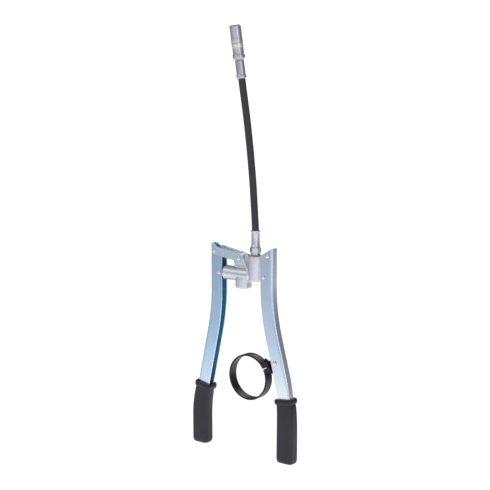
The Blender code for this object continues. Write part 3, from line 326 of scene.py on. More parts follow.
class Finish:
    """A material with a Principled shader, and short calls for the nodes that feed it."""

    def __init__(self, name, roughness, metallic=0.0, turn=None, centre=None, uv=False, **sockets):
        self.material = bpy.data.materials.new(name)
        self.material.use_nodes = True
        self.tree = self.material.node_tree
        self.shader = self.tree.nodes["Principled BSDF"]
        self.shader.inputs["Metallic"].default_value = metallic
        self.shader.inputs["Roughness"].default_value = roughness
        for socket, value in sockets.items():
            self.shader.inputs[socket.replace("_", " ")].default_value = value
        place = self.tree.nodes.new("ShaderNodeTexCoord")
        self.place = place.outputs["UV" if uv else "Object"]
        if turn is not None:
            mapping = self.tree.nodes.new("ShaderNodeMapping")
            mapping.vector_type = "TEXTURE"
            mapping.inputs["Location"].default_value = centre
            mapping.inputs["Rotation"].default_value = turn
            self.tree.links.new(self.place, mapping.inputs["Vector"])
            self.place = mapping.outputs["Vector"]

    def stretched(self, scale):
        """The place, with each axis scaled: a large number makes a pattern fine along that axis."""
        mapping = self.tree.nodes.new("ShaderNodeMapping")
        mapping.inputs["Scale"].default_value = scale
        self.tree.links.new(self.place, mapping.inputs["Vector"])
        return mapping.outputs["Vector"]

    def height(self):
        node = self.tree.nodes.new("ShaderNodeSeparateXYZ")
        self.tree.links.new(self.place, node.inputs["Vector"])
        return node.outputs["Z"]

    def noise(self, scale, detail=3.0, roughness=0.5):
        """A noise pattern from 0 to 1. scale is patches for each metre, on each axis."""
        node = self.tree.nodes.new("ShaderNodeTexNoise")
        node.inputs["Scale"].default_value = 1.0
        node.inputs["Detail"].default_value = detail
        node.inputs["Roughness"].default_value = roughness
        self.tree.links.new(self.stretched(scale), node.inputs["Vector"])
        return node.outputs["Fac"]

    def spread(self, value, low, high, start=0.35, end=0.65):
        """value, taken from start..end to low..high."""
        node = self.tree.nodes.new("ShaderNodeMapRange")
        for socket, number in zip(("From Min", "From Max", "To Min", "To Max"), (start, end, low, high)):
            node.inputs[socket].default_value = number
        self.tree.links.new(value, node.inputs["Value"])
        return node.outputs["Result"]

    def colours(self, value, *stops):
        """A colour ramp of (position, colour) stops."""
        node = self.tree.nodes.new("ShaderNodeValToRGB")
        elements = node.color_ramp.elements
        for element, (position, colour) in zip(elements, stops):
            element.position = position
            element.color = (*colour, 1)
        for position, colour in stops[2:]:
            elements.new(position).color = (*colour, 1)
        self.tree.links.new(value, node.inputs["Fac"])
        return node.outputs["Color"]

    def blend(self, share, first, second, mode="MIX"):
        node = self.tree.nodes.new("ShaderNodeMix")
        node.data_type = "RGBA"
        node.blend_type = mode
        for socket, value in ((node.inputs[0], share), (node.inputs[6], first), (node.inputs[7], second)):
            if isinstance(value, (int, float)):
                socket.default_value = value
            elif isinstance(value, tuple):
                socket.default_value = (*value, 1)
            else:
                self.tree.links.new(value, socket)
        return node.outputs[2]

    def waves(self, scale, bands, distortion=0.0):
        node = self.tree.nodes.new("ShaderNodeTexWave")
        node.bands_direction = bands
        node.inputs["Scale"].default_value = 1.0
        node.inputs["Distortion"].default_value = distortion
        self.tree.links.new(self.stretched(scale), node.inputs["Vector"])
        return node.outputs["Fac"]

    def colour(self, value):
        self.tree.links.new(value, self.shader.inputs["Base Color"])

    def rough(self, value):
        self.tree.links.new(value, self.shader.inputs["Roughness"])

    def bump(self, value, height, strength=1.0, over=None):
        """Raises the surface by up to height where value is 1, on top of an earlier bump."""
        node = self.tree.nodes.new("ShaderNodeBump")
        node.inputs["Strength"].default_value = strength
        node.inputs["Distance"].default_value = height
        self.tree.links.new(value, node.inputs["Height"])
        if over is not None:
            self.tree.links.new(over, node.inputs["Normal"])
        self.tree.links.new(node.outputs["Normal"], self.shader.inputs["Normal"])
        return node.outputs["Normal"]


def even(number):
    return (number, number, number)


def zinc_plate(name, pale, deep, low, roughness):
    """Zinc-plated sheet: cloudy tone with a painted sheen that turns it to low near the grips, and faint
    grain and marks.
    """
    finish = Finish(name, roughness, metallic=0.92)
    cloud = finish.noise(even(28), 4.0)
    grain = finish.noise((900, 900, 60), 3.0)
    marks = finish.noise((420, 420, 35), 6.0, 0.75)
    tone = finish.colours(cloud, (0.3, deep), (0.7, pale))
    # Painted sheen: towards the grips the tone turns to low, a paler colour.
    tone = finish.blend(finish.spread(finish.height(), 1.0, 0.0, *PAINTED_SHEEN_HEIGHTS), tone, low)
    tone = finish.blend(finish.spread(grain, 0.0, 0.03), tone, tuple(c * 0.80 for c in pale))
    rubbed = tuple(min(1, c * 1.10) for c in pale)
    finish.colour(finish.blend(finish.spread(marks, 0.0, 0.08, 0.55, 0.75), tone, rubbed))
    finish.rough(finish.spread(marks, roughness - 0.02, roughness + 0.04, 0.3, 0.7))
    finish.bump(cloud, 0.4 * MM, 0.08)
    return finish.material


def cast_metal():
    finish = Finish("cast_metal", 0.4, metallic=0.85)
    cloud = finish.noise(even(60), 4.0)
    skin = finish.noise(even(900), 4.0, 0.6)
    tone = finish.colours(cloud, (0.3, (0.56, 0.59, 0.66)), (0.7, (0.68, 0.70, 0.77)))
    finish.colour(finish.blend(finish.spread(skin, 0.0, 0.3), tone, (0.50, 0.51, 0.56)))
    finish.rough(finish.spread(skin, 0.34, 0.52, 0.3, 0.7))
    fine = finish.bump(skin, 0.04 * MM, 0.5)
    finish.bump(cloud, 0.5 * MM, 0.15, over=fine)
    return finish.material


def turned_steel(name, pale, deep, roughness, axis):
    """Steel off a lathe, plated: fine turning lines round an axis, and a cloudy tone."""
    finish = Finish(name, roughness, metallic=1.0, turn=axis.to_euler(), centre=axis.translation)
    lines = finish.noise((40, 40, 5200), 2.0)
    cloud = finish.noise(even(120), 4.0)
    tone = finish.colours(cloud, (0.3, deep), (0.7, pale))
    finish.colour(finish.blend(finish.spread(lines, 0.0, 0.25), tone, deep))
    finish.rough(finish.spread(lines, roughness - 0.04, roughness + 0.06))
    finish.bump(lines, 0.004 * MM, 0.1)
    return finish.material


def speckled(name, pale, deep, roughness, grain, metallic=1.0):
    """A plain finish with fine spots and a cloudy tone. grain is spots for each metre."""
    finish = Finish(name, roughness, metallic=metallic)
    spots = finish.noise(even(grain), 4.0)
    cloud = finish.noise(even(90), 3.0)
    tone = finish.colours(cloud, (0.3, deep), (0.7, pale))
    finish.colour(finish.blend(finish.spread(spots, 0.0, 0.35), tone, deep))
    finish.rough(finish.spread(spots, roughness - 0.07, roughness + 0.1))
    finish.bump(spots, 0.01 * MM, 0.3)
    return finish.material


def hose_rubber():
    """Cloth-wrapped rubber: the wrap's fine weave pressed into it, on the hose's own UV."""
    finish = Finish("hose_rubber", 0.55, uv=True, Specular_IOR_Level=0.45)
    right = finish.waves((14, 150, 1), "DIAGONAL")
    left = finish.waves((-14, 150, 1), "DIAGONAL")
    weave = finish.blend(0.5, right, left)
    dust = finish.noise((6, 9, 1), 4.0, 0.6)
    tone = finish.colours(dust, (0.3, (0.015, 0.013, 0.021)), (0.75, (0.032, 0.030, 0.044)))
    finish.colour(finish.blend(finish.spread(weave, 0.0, 0.35, 0.2, 0.8), tone, (0.009, 0.008, 0.012)))
    finish.rough(finish.spread(dust, 0.48, 0.66))
    finish.bump(weave, 0.10 * MM, 0.5)
    return finish.material


def grip_plastic():
    finish = Finish("grip_plastic", 0.42, Specular_IOR_Level=0.4)
    grain = finish.noise(even(1500), 3.0, 0.6)
    cloud = finish.noise(even(35), 4.0, 0.6)
    scuffs = finish.noise((260, 260, 45), 6.0, 0.75)
    tone = finish.colours(cloud, (0.3, (0.0105, 0.010, 0.017)), (0.75, (0.018, 0.017, 0.029)))
    finish.colour(finish.blend(finish.spread(scuffs, 0.0, 0.3, 0.6, 0.78), tone, (0.045, 0.045, 0.052)))
    finish.rough(finish.spread(scuffs, 0.36, 0.56, 0.3, 0.75))
    fine = finish.bump(grain, 0.05 * MM, 0.6)
    finish.bump(cloud, 0.6 * MM, 0.15, over=fine)
    return finish.material


def black_steel():
    finish = Finish("black_steel", 0.36, metallic=0.2, Specular_IOR_Level=0.35)
    cloud = finish.noise(even(70), 4.0)
    rubs = finish.noise((350, 350, 350), 6.0, 0.75)
    tone = finish.colours(cloud, (0.3, (0.009, 0.008, 0.0125)), (0.75, (0.018, 0.017, 0.024)))
    finish.colour(finish.blend(finish.spread(rubs, 0.0, 0.5, 0.64, 0.8), tone, (0.07, 0.07, 0.075)))
    finish.rough(finish.spread(rubs, 0.28, 0.48, 0.3, 0.75))
    finish.bump(rubs, 0.05 * MM, 0.4)
    return finish.material


# Mesh helpers


def mesh_of(bm, name, angle=35):
    mesh = bpy.data.meshes.new(name)
    bm.to_mesh(mesh)
    bm.free()
    mesh.shade_smooth()
    mesh.set_sharp_from_angle(angle=radians(angle))
    return mesh


def stand_for(name, mesh, materials, *replaced, edge=None):
    """An object that stands for CAD nodes and rides on their body. edge rounds its sharp edges."""
    obj = bpy.data.objects.new(name, mesh)
    scene.collection.objects.link(obj)
    if mesh.materials:
        mesh.materials.clear()
    for mat in materials if isinstance(materials, (list, tuple)) else [materials]:
        mesh.materials.append(mat)
    if edge:
        bevel = obj.modifiers.new("Rounding", "BEVEL")
        bevel.width = edge
        bevel.segments = 2
        bevel.limit_method = "ANGLE"
        bevel.angle_limit = radians(35)
        bevel.use_clamp_overlap = True
    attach(obj, nodes[replaced[0]]["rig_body"])
    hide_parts(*replaced)
    return obj


def along(place, direction):
    """A frame with its origin at place and its Z axis along direction."""
    z = direction.normalized()
    x = z.cross(ACROSS)
    x = x.normalized() if x.length > 1e-6 else Vector((1, 0, 0))
    y = z.cross(x)
    return Matrix.Translation(place) @ Matrix((x, y, z)).transposed().to_4x4()


def span(node, axis):
    """Lowest and highest point of a CAD node along a frame's Z axis, and its largest radius about it."""
    inverse = axis.inverted()
    points = [inverse @ v.co for v in nodes[node].data.vertices]
    heights = [p.z for p in points]
    return min(heights), max(heights), max(hypot(p.x, p.y) for p in points)


def arc(centre, radius, start, end, steps):
    angles = [start + (end - start) * i / steps for i in range(steps + 1)]
    return [(centre[0] + radius * cos(a), centre[1] + radius * sin(a)) for a in angles]


def eased(points, radius, closed=True, steps=3):
    """An outline with each of its corners rounded."""
    count = len(points)
    result = []
    for i, (x, z) in enumerate(points):
        if not closed and i in (0, count - 1):
            result.append((x, z))
            continue
        before, after = points[i - 1], points[(i + 1) % count]
        ends = []
        for ox, oz in (before, after):
            length = hypot(ox - x, oz - z)
            share = min(radius, 0.45 * length) / length
            ends.append((x + (ox - x) * share, z + (oz - z) * share))
        (ax, az), (bx, bz) = ends
        for s in [k / steps for k in range(steps + 1)]:
            result.append(((1 - s) ** 2 * ax + 2 * s * (1 - s) * x + s * s * bx,
                           (1 - s) ** 2 * az + 2 * s * (1 - s) * z + s * s * bz))
    return result


def loft(bm, rings, wrap=False, caps=True, inside_from=None):
    """Faces through rings of points of equal number. Past inside_from they get the second material."""
    loops = [[bm.verts.new(p) for p in ring] for ring in rings]
    count = len(loops[0])
    pairs = list(zip(loops, loops[1:]))
    if wrap:
        pairs.append((loops[-1], loops[0]))
    for upper, lower in pairs:
        for i in range(count):
            j = (i + 1) % count
            face = bm.faces.new((upper[i], upper[j], lower[j], lower[i]))
            if inside_from and inside_from <= i < count - 1:
                face.material_index = 1
    if caps and not wrap:
        bm.faces.new(loops[0][::-1])
        bm.faces.new(loops[-1])
    return loops


def turned(name, profile, axis, sides=96, rounding=0.25 * MM, closed=True, shape=None):
    """A profile of (radius, height) turned about a frame's Z axis. shape may change a point's radius."""
    points = eased(profile, rounding, closed)
    bm = bmesh.new()
    rings = []
    for i in range(sides):
        angle = 2 * pi * i / sides
        ring = []
        for r, h in points:
            reach = shape(angle, r, h) if shape else r
            ring.append(axis @ Vector((reach * cos(angle), reach * sin(angle), h)))
        rings.append(ring)
    loops = [[bm.verts.new(p) for p in ring] for ring in rings]
    count = len(points)
    for i in range(sides):
        a, b = loops[i], loops[(i + 1) % sides]
        for j in range(count if closed else count - 1):
            k = (j + 1) % count
            bm.faces.new((a[j], b[j], b[k], a[k]))
    bmesh.ops.remove_doubles(bm, verts=bm.verts, dist=0.0005 * MM)
    bmesh.ops.recalc_face_normals(bm, faces=bm.faces)
    return mesh_of(bm, name)


def polygon_radius(angle, apothem, sides):
    """Radius of a regular polygon's outline at an angle."""
    part = 2 * pi / sides
    return apothem / cos((angle + part / 2) % part - part / 2)


def cad_copy(node, name, tolerance=0.6):
    """A copy of a CAD node's mesh, merged, with its flat faces whole again."""
    bm = bmesh.new()
    bm.from_mesh(nodes[node].data)
    bmesh.ops.remove_doubles(bm, verts=bm.verts, dist=0.001 * MM)
    bmesh.ops.dissolve_limit(bm, angle_limit=radians(tolerance), verts=bm.verts, edges=bm.edges)
    return mesh_of(bm, name)


def plain_mesh(obj, name):
    """What an object with modifiers looks like, as a plain mesh. The object is removed."""
    evaluated = obj.evaluated_get(bpy.context.evaluated_depsgraph_get())
    mesh = bpy.data.meshes.new_from_object(evaluated)
    mesh.name = name
    bpy.data.objects.remove(obj)
    return mesh


# Handles


def handle_line(straight, lean, slant):
    """Points on the outside of the web, with the web's lean there, from the top down."""
    x, z, angle = HANDLE_SPAN / 2, 0.0, 0.0
    stations = []

    def run(length, steps=1):
        nonlocal x, z
        for _ in range(steps):
            x += length / steps * sin(angle)
            z -= length / steps * cos(angle)
            stations.append((x, z, angle))

    def bend(radius, turn, steps=22):
        nonlocal angle
        for _ in range(steps):
            angle += turn / steps / 2
            run(radius * abs(turn) / steps)
            angle += turn / steps / 2
            stations[-1] = (x, z, angle)

    run(TOP_ZONE)
    run(straight - TOP_ZONE, 4)
    bend(UPPER_BEND_RADIUS, lean)
    run(slant, 6)
    bend(LOWER_BEND_RADIUS, -lean)
    run(HANDLE_LENGTH + z, 4)
    return stations


def top_edge(depth):
    """How far below the handle's top the flange's edge is, at a depth from the web's outside."""
    for (d0, drop0), (d1, drop1) in zip(TOP_CUT, TOP_CUT[1:]):
        if depth <= d1:
            return max(0.0, drop0 + (drop1 - drop0) * (depth - d0) / (d1 - d0) - TOP_CUT_START)
    return TOP_CUT[-1][1] - TOP_CUT_START


def channel_section(inset, depth_end):
    """One side of the folded sheet, from one flange's edge round the web to the other's: (depth, y)."""
    half = HALF_WIDTH - inset
    fold = FOLD_RADIUS - inset
    flange = [depth_end + (inset + fold - depth_end) * i / 6 for i in range(6)]
    front = [(d, -half) for d in flange] + arc((inset + fold, -half + fold), fold, -pi / 2, -pi, 8)
    return front + [(d, -y) for d, y in reversed(front)]


def make_handle(name, side, straight, lean, slant, mats):
    line = handle_line(straight, lean, slant)
    outside = channel_section(0.0, CHANNEL_DEPTH)
    inside = channel_section(SHEET, CHANNEL_DEPTH)
    section = outside + inside[::-1]
    half_count = len(outside)
    rows = []
    zone_rows = 8
    for i in range(zone_rows):
        share = i / zone_rows
        row = []
        for d, y in section:
            top = -top_edge(d)
            row.append(DRAWING + Vector((side * (HANDLE_SPAN / 2 - d), y, top + (-TOP_ZONE - top) * share)))
        rows.append(row)
    for x, z, tilt in line:
        rows.append([DRAWING + Vector((side * (x - d * cos(tilt)), y, z - d * sin(tilt)))
                     for d, y in section])
    bm = bmesh.new()
    # The inner faces take the second material, a darker copy of the plating with painted shade.
    loops = loft(bm, rows, caps=False, inside_from=half_count)
    for loop in (loops[0], loops[-1]):
        for i in range(half_count - 1):
            j = len(section) - 1 - i
            bm.faces.new((loop[i], loop[i + 1], loop[j - 1], loop[j]))
    bmesh.ops.recalc_face_normals(bm, faces=bm.faces)
    return stand_for(name + "_sheet", mesh_of(bm, name), mats, name, edge=SHEET_EDGE)


# Grips


def place_on_line(line, z):
    for (x0, z0, lean0), (x1, z1, lean1) in zip(line, line[1:]):
        if z1 <= z:
            t = (z - z0) / (z1 - z0)
            return x0 + (x1 - x0) * t, lean0 + (lean1 - lean0) * t
    return line[-1][0], line[-1][2]


def rounded_ring(side, x, z, lean, outer, inner, half, corner):
    """A rounded rectangle about the channel: from outer beyond the web to inner beyond the opening."""
    depth = CHANNEL_DEPTH + inner
    centres = [(-outer + corner, -half + corner), (depth - corner, -half + corner),
               (depth - corner, half - corner), (-outer + corner, half - corner)]
    ring = []
    for quarter, (d, y) in enumerate(centres):
        start = pi + quarter * pi / 2
        for dd, yy in arc((d, y), corner, start, start + pi / 2, 8):
            ring.append(DRAWING + Vector((side * (x - dd * cos(lean)), yy, z - dd * sin(lean))))
    return ring


def make_grip(name, side, straight, lean, slant, grip_top, bottom, mat):
    line = handle_line(straight, lean, slant)
    handle_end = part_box(name.replace("grip", "handle"))[0].z - DRAWING.z
    half = HALF_WIDTH + GAP + GRIP_SIDE_WALL
    rings = []

    def ring(z, outer, inner, side_reach, corner):
        x, tilt = place_on_line(line, z)
        rings.append(rounded_ring(side, x, z, tilt, outer, inner, side_reach, corner))

    pocket_end = handle_end - 1.5 * MM
    for i in range(5):
        z = pocket_end + (grip_top - handle_end + 0.3 * MM) * i / 4
        ring(z, GAP, GAP, HALF_WIDTH + GAP, 1.5 * MM)
    steps = 8
    for i in range(steps + 1):
        angle = pi * i / steps
        proud = COLLAR_PROUD * sin(angle) ** 0.5 if 0 < i < steps else 0.0
        z = grip_top - COLLAR_HEIGHT / 2 + COLLAR_HEIGHT / 2 * cos(angle)
        ring(z, GRIP_OUTER_WALL + proud, GRIP_INNER_WALL + proud, half + proud, GRIP_CORNER + proud / 2)
    rows = 46
    collar_share = COLLAR_HEIGHT / (grip_top - bottom)
    for i in range(1, rows + 1):
        share = collar_share + (1 - collar_share) * (1 - (1 - i / rows) ** 1.6)
        fall = min(1, max(0, share - GRIP_END_START) / (1 - GRIP_END_START))
        shrink = GRIP_END_ROUND * (1 - (1 - fall ** 2) ** 0.5)
        swell = sin(pi / 2 * min(1, share * 1.9))
        z = grip_top + (bottom - grip_top) * share
        outer = GRIP_OUTER_WALL + GRIP_BULGE * swell - shrink
        inner = GRIP_INNER_WALL + GRIP_FLARE * share ** 2 - shrink
        ring(z, outer, inner, half - shrink, GRIP_CORNER)
    bm = bmesh.new()
    loft(bm, rings)
    bmesh.ops.recalc_face_normals(bm, faces=bm.faces)
    return stand_for(name + "_sleeve", mesh_of(bm, name, 50), mat, name)


# What repeats: coils and the pressed heads of pins, made by Geometry Nodes


def new_tree(name, *inputs):
    """A Geometry Nodes tree with named inputs, and a geometry output."""
    tree = bpy.data.node_groups.new(name, "GeometryNodeTree")
    tree.interface.new_socket("Geometry", in_out="INPUT", socket_type="NodeSocketGeometry")
    for label, kind in inputs:
        tree.interface.new_socket(label, in_out="INPUT", socket_type="NodeSocket" + kind)
    tree.interface.new_socket("Geometry", in_out="OUTPUT", socket_type="NodeSocketGeometry")
    entry = tree.nodes.new("NodeGroupInput")
    leave = tree.nodes.new("NodeGroupOutput")
    return tree, entry, leave


def finish_tree(tree, entry, leave, geometry):
    realize = tree.nodes.new("GeometryNodeRealizeInstances")
    paint = tree.nodes.new("GeometryNodeSetMaterial")
    tree.links.new(geometry, realize.inputs[0])
    tree.links.new(realize.outputs[0], paint.inputs["Geometry"])
    tree.links.new(entry.outputs["Material"], paint.inputs["Material"])
    tree.links.new(paint.outputs[0], leave.inputs[0])


def coil_tree():
    """Wire wound about Z: for springs and for screw threads."""
    tree, entry, leave = new_tree(
        "coil", ("Radius", "Float"), ("End radius", "Float"), ("Wire radius", "Float"), ("Height", "Float"),
        ("Turns", "Float"), ("Steps each turn", "Int"), ("Wire sides", "Int"), ("Material", "Material"))
    spiral = tree.nodes.new("GeometryNodeCurveSpiral")
    wire = tree.nodes.new("GeometryNodeCurvePrimitiveCircle")
    sweep = tree.nodes.new("GeometryNodeCurveToMesh")
    for source, target in (("Radius", "Start Radius"), ("End radius", "End Radius"), ("Height", "Height"),
                           ("Turns", "Rotations"), ("Steps each turn", "Resolution")):
        tree.links.new(entry.outputs[source], spiral.inputs[target])
    tree.links.new(entry.outputs["Wire radius"], wire.inputs["Radius"])
    tree.links.new(entry.outputs["Wire sides"], wire.inputs["Resolution"])
    tree.links.new(spiral.outputs[0], sweep.inputs["Curve"])
    tree.links.new(wire.outputs[0], sweep.inputs["Profile Curve"])
    sweep.inputs["Fill Caps"].default_value = True
    finish_tree(tree, entry, leave, sweep.outputs[0])
    return tree


def pin_tree():
    """A pin's shank along Z with a pressed head on each end, from a head standing on Z = 0."""
    tree, entry, leave = new_tree(
        "pin", ("Head", "Object"), ("Shank radius", "Float"), ("Half length", "Float"), ("Sides", "Int"),
        ("Material", "Material"))
    head = tree.nodes.new("GeometryNodeObjectInfo")
    ends = tree.nodes.new("GeometryNodeMeshLine")
    ends.mode = "END_POINTS"
    low = tree.nodes.new("ShaderNodeCombineXYZ")
    high = tree.nodes.new("ShaderNodeCombineXYZ")
    minus = tree.nodes.new("ShaderNodeMath")
    minus.operation = "MULTIPLY"
    minus.inputs[1].default_value = -1.0
    ends.inputs["Count"].default_value = 2
    number = tree.nodes.new("GeometryNodeInputIndex")
    turn = tree.nodes.new("ShaderNodeMath")
    turn.operation = "MULTIPLY_ADD"
    turn.inputs[1].default_value = -pi
    turn.inputs[2].default_value = pi
    angle = tree.nodes.new("ShaderNodeCombineXYZ")
    place = tree.nodes.new("GeometryNodeInstanceOnPoints")
    shank = tree.nodes.new("GeometryNodeMeshCylinder")
    length = tree.nodes.new("ShaderNodeMath")
    length.operation = "MULTIPLY"
    length.inputs[1].default_value = 2.0
    both = tree.nodes.new("GeometryNodeJoinGeometry")
    link = tree.links.new
    link(entry.outputs["Head"], head.inputs["Object"])
    link(entry.outputs["Half length"], high.inputs["Z"])
    link(entry.outputs["Half length"], minus.inputs[0])
    link(minus.outputs[0], low.inputs["Z"])
    link(low.outputs[0], ends.inputs["Start Location"])
    link(high.outputs[0], ends.inputs["Offset"])
    link(number.outputs[0], turn.inputs[0])
    link(turn.outputs[0], angle.inputs["X"])
    link(ends.outputs[0], place.inputs["Points"])
    link(head.outputs["Geometry"], place.inputs["Instance"])
    link(angle.outputs[0], place.inputs["Rotation"])
    link(entry.outputs["Sides"], shank.inputs["Vertices"])
    link(entry.outputs["Shank radius"], shank.inputs["Radius"])
    link(entry.outputs["Half length"], length.inputs[0])
    link(length.outputs[0], shank.inputs["Depth"])
    link(place.outputs[0], both.inputs[0])
    link(shank.outputs["Mesh"], both.inputs[0])
    finish_tree(tree, entry, leave, both.outputs[0])
    return tree


def grown(name, tree, axis, **sizes):
    """The mesh that a tree makes with these sizes, placed by a frame."""
    obj = bpy.data.objects.new(name, bpy.data.meshes.new(name))
    scene.collection.objects.link(obj)
    modifier = obj.modifiers.new(tree.name, "NODES")
    modifier.node_group = tree
    sockets = {item.name: item.identifier for item in tree.interface.items_tree if item.in_out == "INPUT"}
    for label, value in sizes.items():
        modifier[sockets[label.replace("_", " ")]] = value
    obj.update_tag()
    mesh = plain_mesh(obj, name)
    mesh.transform(axis)
    mesh.shade_smooth()
    mesh.set_sharp_from_angle(angle=radians(35))
    return mesh


def make_pin(node, tree, head_height, mat):
    """A pin of a CAD pin's size, with a shallow punched dome on both ends."""
    low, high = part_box(node)
    radius = (high.x - low.x) / 2
    half = (high.y - low.y) / 2 - head_height
    shares = ((0, 0.72), (0.2, 0.72), (0.34, 1), (0.62, 0.93), (0.88, 0.68), (1, 0.3), (1, 0), (0, 0))
    dome = [(radius * across, head_height * up) for across, up in shares]
    head_mesh = turned(node + "_head", dome, Matrix(), 48, 0.2 * MM, closed=False)
    head = bpy.data.objects.new(node + "_head", head_mesh)
    scene.collection.objects.link(head)
    mesh = grown(node + "_pressed", tree, along(middle(node), -ACROSS), Head=head, Sides=32, Material=mat,
                 Shank_radius=PIN_SHANKS.get(node, PIN_SHANK), Half_length=half + 0.1 * MM)
    bpy.data.objects.remove(head)
    return stand_for(node + "_pressed", mesh, mat, node)


def make_spring(node, tree, axis, turns, mat):
    low, high, reach = span(node, axis)
    radius = reach - SPRING_WIRE
    mesh = grown(node + "_wire", tree, axis @ Matrix.Translation((0, 0, low + SPRING_WIRE)),
                 Radius=radius, End_radius=radius, Wire_radius=SPRING_WIRE, Turns=float(turns),
                 Height=high - low - 2 * SPRING_WIRE, Steps_each_turn=32, Wire_sides=10, Material=mat)
    return stand_for(node + "_wire", mesh, mat, node)


# Cast head, link and plunger


def make_head(mat):
    """The casting: the CAD solid with soft cast corners and a faint parting line round its middle."""
    obj = bpy.data.objects.new("head", cad_copy("head_casting", "head"))
    scene.collection.objects.link(obj)
    remesh = obj.modifiers.new("Skin", "REMESH")
    remesh.mode = "VOXEL"
    remesh.voxel_size = CAST_GRAIN
    smooth = obj.modifiers.new("Soften", "SMOOTH")
    smooth.factor = 0.5
    smooth.iterations = CAST_SOFTENING
    mesh = plain_mesh(obj, "head")
    bm = bmesh.new()
    bm.from_mesh(mesh)
    bm.normal_update()
    for vert in bm.verts:
        off = abs(vert.co.y) / PARTING_WIDTH
        if off < 1 and abs(vert.normal.y) < 0.35:
            vert.co += vert.normal * PARTING_PROUD * (1 - off ** 2)
    bm.to_mesh(mesh)
    bm.free()
    mesh.shade_smooth()
    return stand_for("head_skin", mesh, mat, "head_casting")


def bored(name, node, axis, bore, mat, rounding=0.3 * MM):
    """A plain ring with a bore, of a CAD ring's size."""
    low, high, reach = span(node, axis)
    profile = [(reach, high), (reach, low), (bore, low), (bore, high)]
    return stand_for(name, turned(name, profile, axis, rounding=rounding), mat, node)


# Lower fitting and hose


def make_lower_fitting(axis, mats):
    low, high, reach = span("sealing_washer", axis)
    washer = [(reach, high), (reach, low), (THREAD_RADIUS, low), (THREAD_RADIUS, high)]
    washer_mesh = turned("washer_ring", washer, axis, rounding=0.35 * MM)
    stand_for("washer_ring", washer_mesh, mats["washer"], "sealing_washer")

    collar_base = high + GAP
    hex_base = collar_base + FITTING_COLLAR
    hex_top = hex_base + HEX_HEIGHT
    bottom, tail_top, corner = span("hose_fitting", axis)
    apothem = HEX_ACROSS / 2
    chamfer = corner - apothem
    neck = COLLAR_RADIUS - 0.5 * MM
    profile = [(BORE_RADIUS, tail_top), (TAIL_RADIUS, tail_top), (TAIL_RADIUS, hex_top),
               (apothem - 0.2 * MM, hex_top), (corner, hex_top - chamfer * 0.8),
               (corner, hex_base + chamfer * 0.8), (apothem - 0.1 * MM, hex_base),
               (neck, hex_base - 0.01 * MM), (neck, hex_base - 0.9 * MM),
               (COLLAR_RADIUS, hex_base - 1.2 * MM), (COLLAR_RADIUS, collar_base),
               (THREAD_RADIUS, collar_base), (THREAD_RADIUS, bottom), (BORE_RADIUS, bottom)]

    def six_sided(angle, radius, height):
        return min(radius, polygon_radius(angle, apothem, 6)) if hex_base <= height <= hex_top else radius

    fitting = turned("fitting_turned", profile, axis, sides=144, rounding=0.18 * MM, shape=six_sided)
    stand_for("fitting_turned", fitting, mats["lower"], "hose_fitting")

    low, high, lip = span("lower_ferrule", axis)
    step = HOSE_ROUTE[0].z + DRAWING.z - GAP
    inside = HOSE_RADIUS + GAP / 2
    ferrule = [(FERRULE_RADIUS, high - 2.6 * MM), (FERRULE_RADIUS, low + 2.8 * MM),
               (lip, low + 1.4 * MM), (lip, low), (TAIL_RADIUS + GAP, low),
               (TAIL_RADIUS + GAP, step), (inside, step), (inside, high),
               (lip - 0.3 * MM, high), (lip, high - 0.6 * MM), (lip, high - 1.6 * MM)]
    crimped = turned("lower_ferrule_crimped", ferrule, axis, sides=128, rounding=0.3 * MM,
                     shape=crimp(low + 4.2 * MM, high - 4.2 * MM, FERRULE_RADIUS))
    stand_for("lower_ferrule_crimped", crimped, mats["lower"], "lower_ferrule")


def crimp(low, high, radius):
    """Eight flats pressed into a sleeve between two heights."""

    def shape(angle, reach, height):
        if not low <= height <= high or reach < radius - 0.2 * MM:
            return reach
        return min(reach, polygon_radius(angle, radius - CRIMP_DEPTH, 8))

    return shape


def hose_line():
    """Points close together on one smooth curve through the route, and the direction at its far end."""
    route = [DRAWING + point for point in HOSE_ROUTE]
    before = route[0] - UP * (route[1] - route[0]).length
    after = route[-1] * 2 - route[-2]
    knots = [before] + route + [after]
    points = []
    for a, b, c, d in zip(knots, knots[1:], knots[2:], knots[3:]):
        for i in range(HOSE_STEPS):
            t = i / HOSE_STEPS
            points.append(0.5 * (2 * b + (c - a) * t + (2 * a - 5 * b + 4 * c - d) * t ** 2
                                 + (3 * b - a - 3 * c + d) * t ** 3))
    points.append(route[-1])
    return points, (after - route[-2]).normalized()


def make_hose(points, mat):
    """The hose as one tube, with a UV map that runs round it and along it."""
    bm = bmesh.new()
    uv = bm.loops.layers.uv.new("UVMap")
    rings = []
    run = [0.0]
    for a, b in zip(points, points[1:]):
        run.append(run[-1] + (b - a).length)
    side = Vector((1, 0, 0))
    for i, point in enumerate(points):
        tangent = (points[min(i + 1, len(points) - 1)] - points[max(i - 1, 0)]).normalized()
        side = (side - tangent * side.dot(tangent)).normalized()
        other = tangent.cross(side)
        rings.append([bm.verts.new(point + HOSE_RADIUS * (cos(a) * side + sin(a) * other))
                      for a in (2 * pi * k / HOSE_SIDES for k in range(HOSE_SIDES))])
    round_share = 2 * pi * HOSE_RADIUS
    for i, (upper, lower) in enumerate(zip(rings, rings[1:])):
        for k in range(HOSE_SIDES):
            j = (k + 1) % HOSE_SIDES
            face = bm.faces.new((upper[k], upper[j], lower[j], lower[k]))
            corners = ((k, i), (k + 1, i), (k + 1, i + 1), (k, i + 1))
            for loop, (u, v) in zip(face.loops, corners):
                loop[uv].uv = (u / HOSE_SIDES, run[v] / round_share)
    bm.faces.new(rings[0][::-1])
    bm.faces.new(rings[-1])
    bmesh.ops.recalc_face_normals(bm, faces=bm.faces)
    hose = stand_for("hose_wrapped", mesh_of(bm, "hose_wrapped", 60), mat, "hose")
    return hose, run[-1]


# Coupler


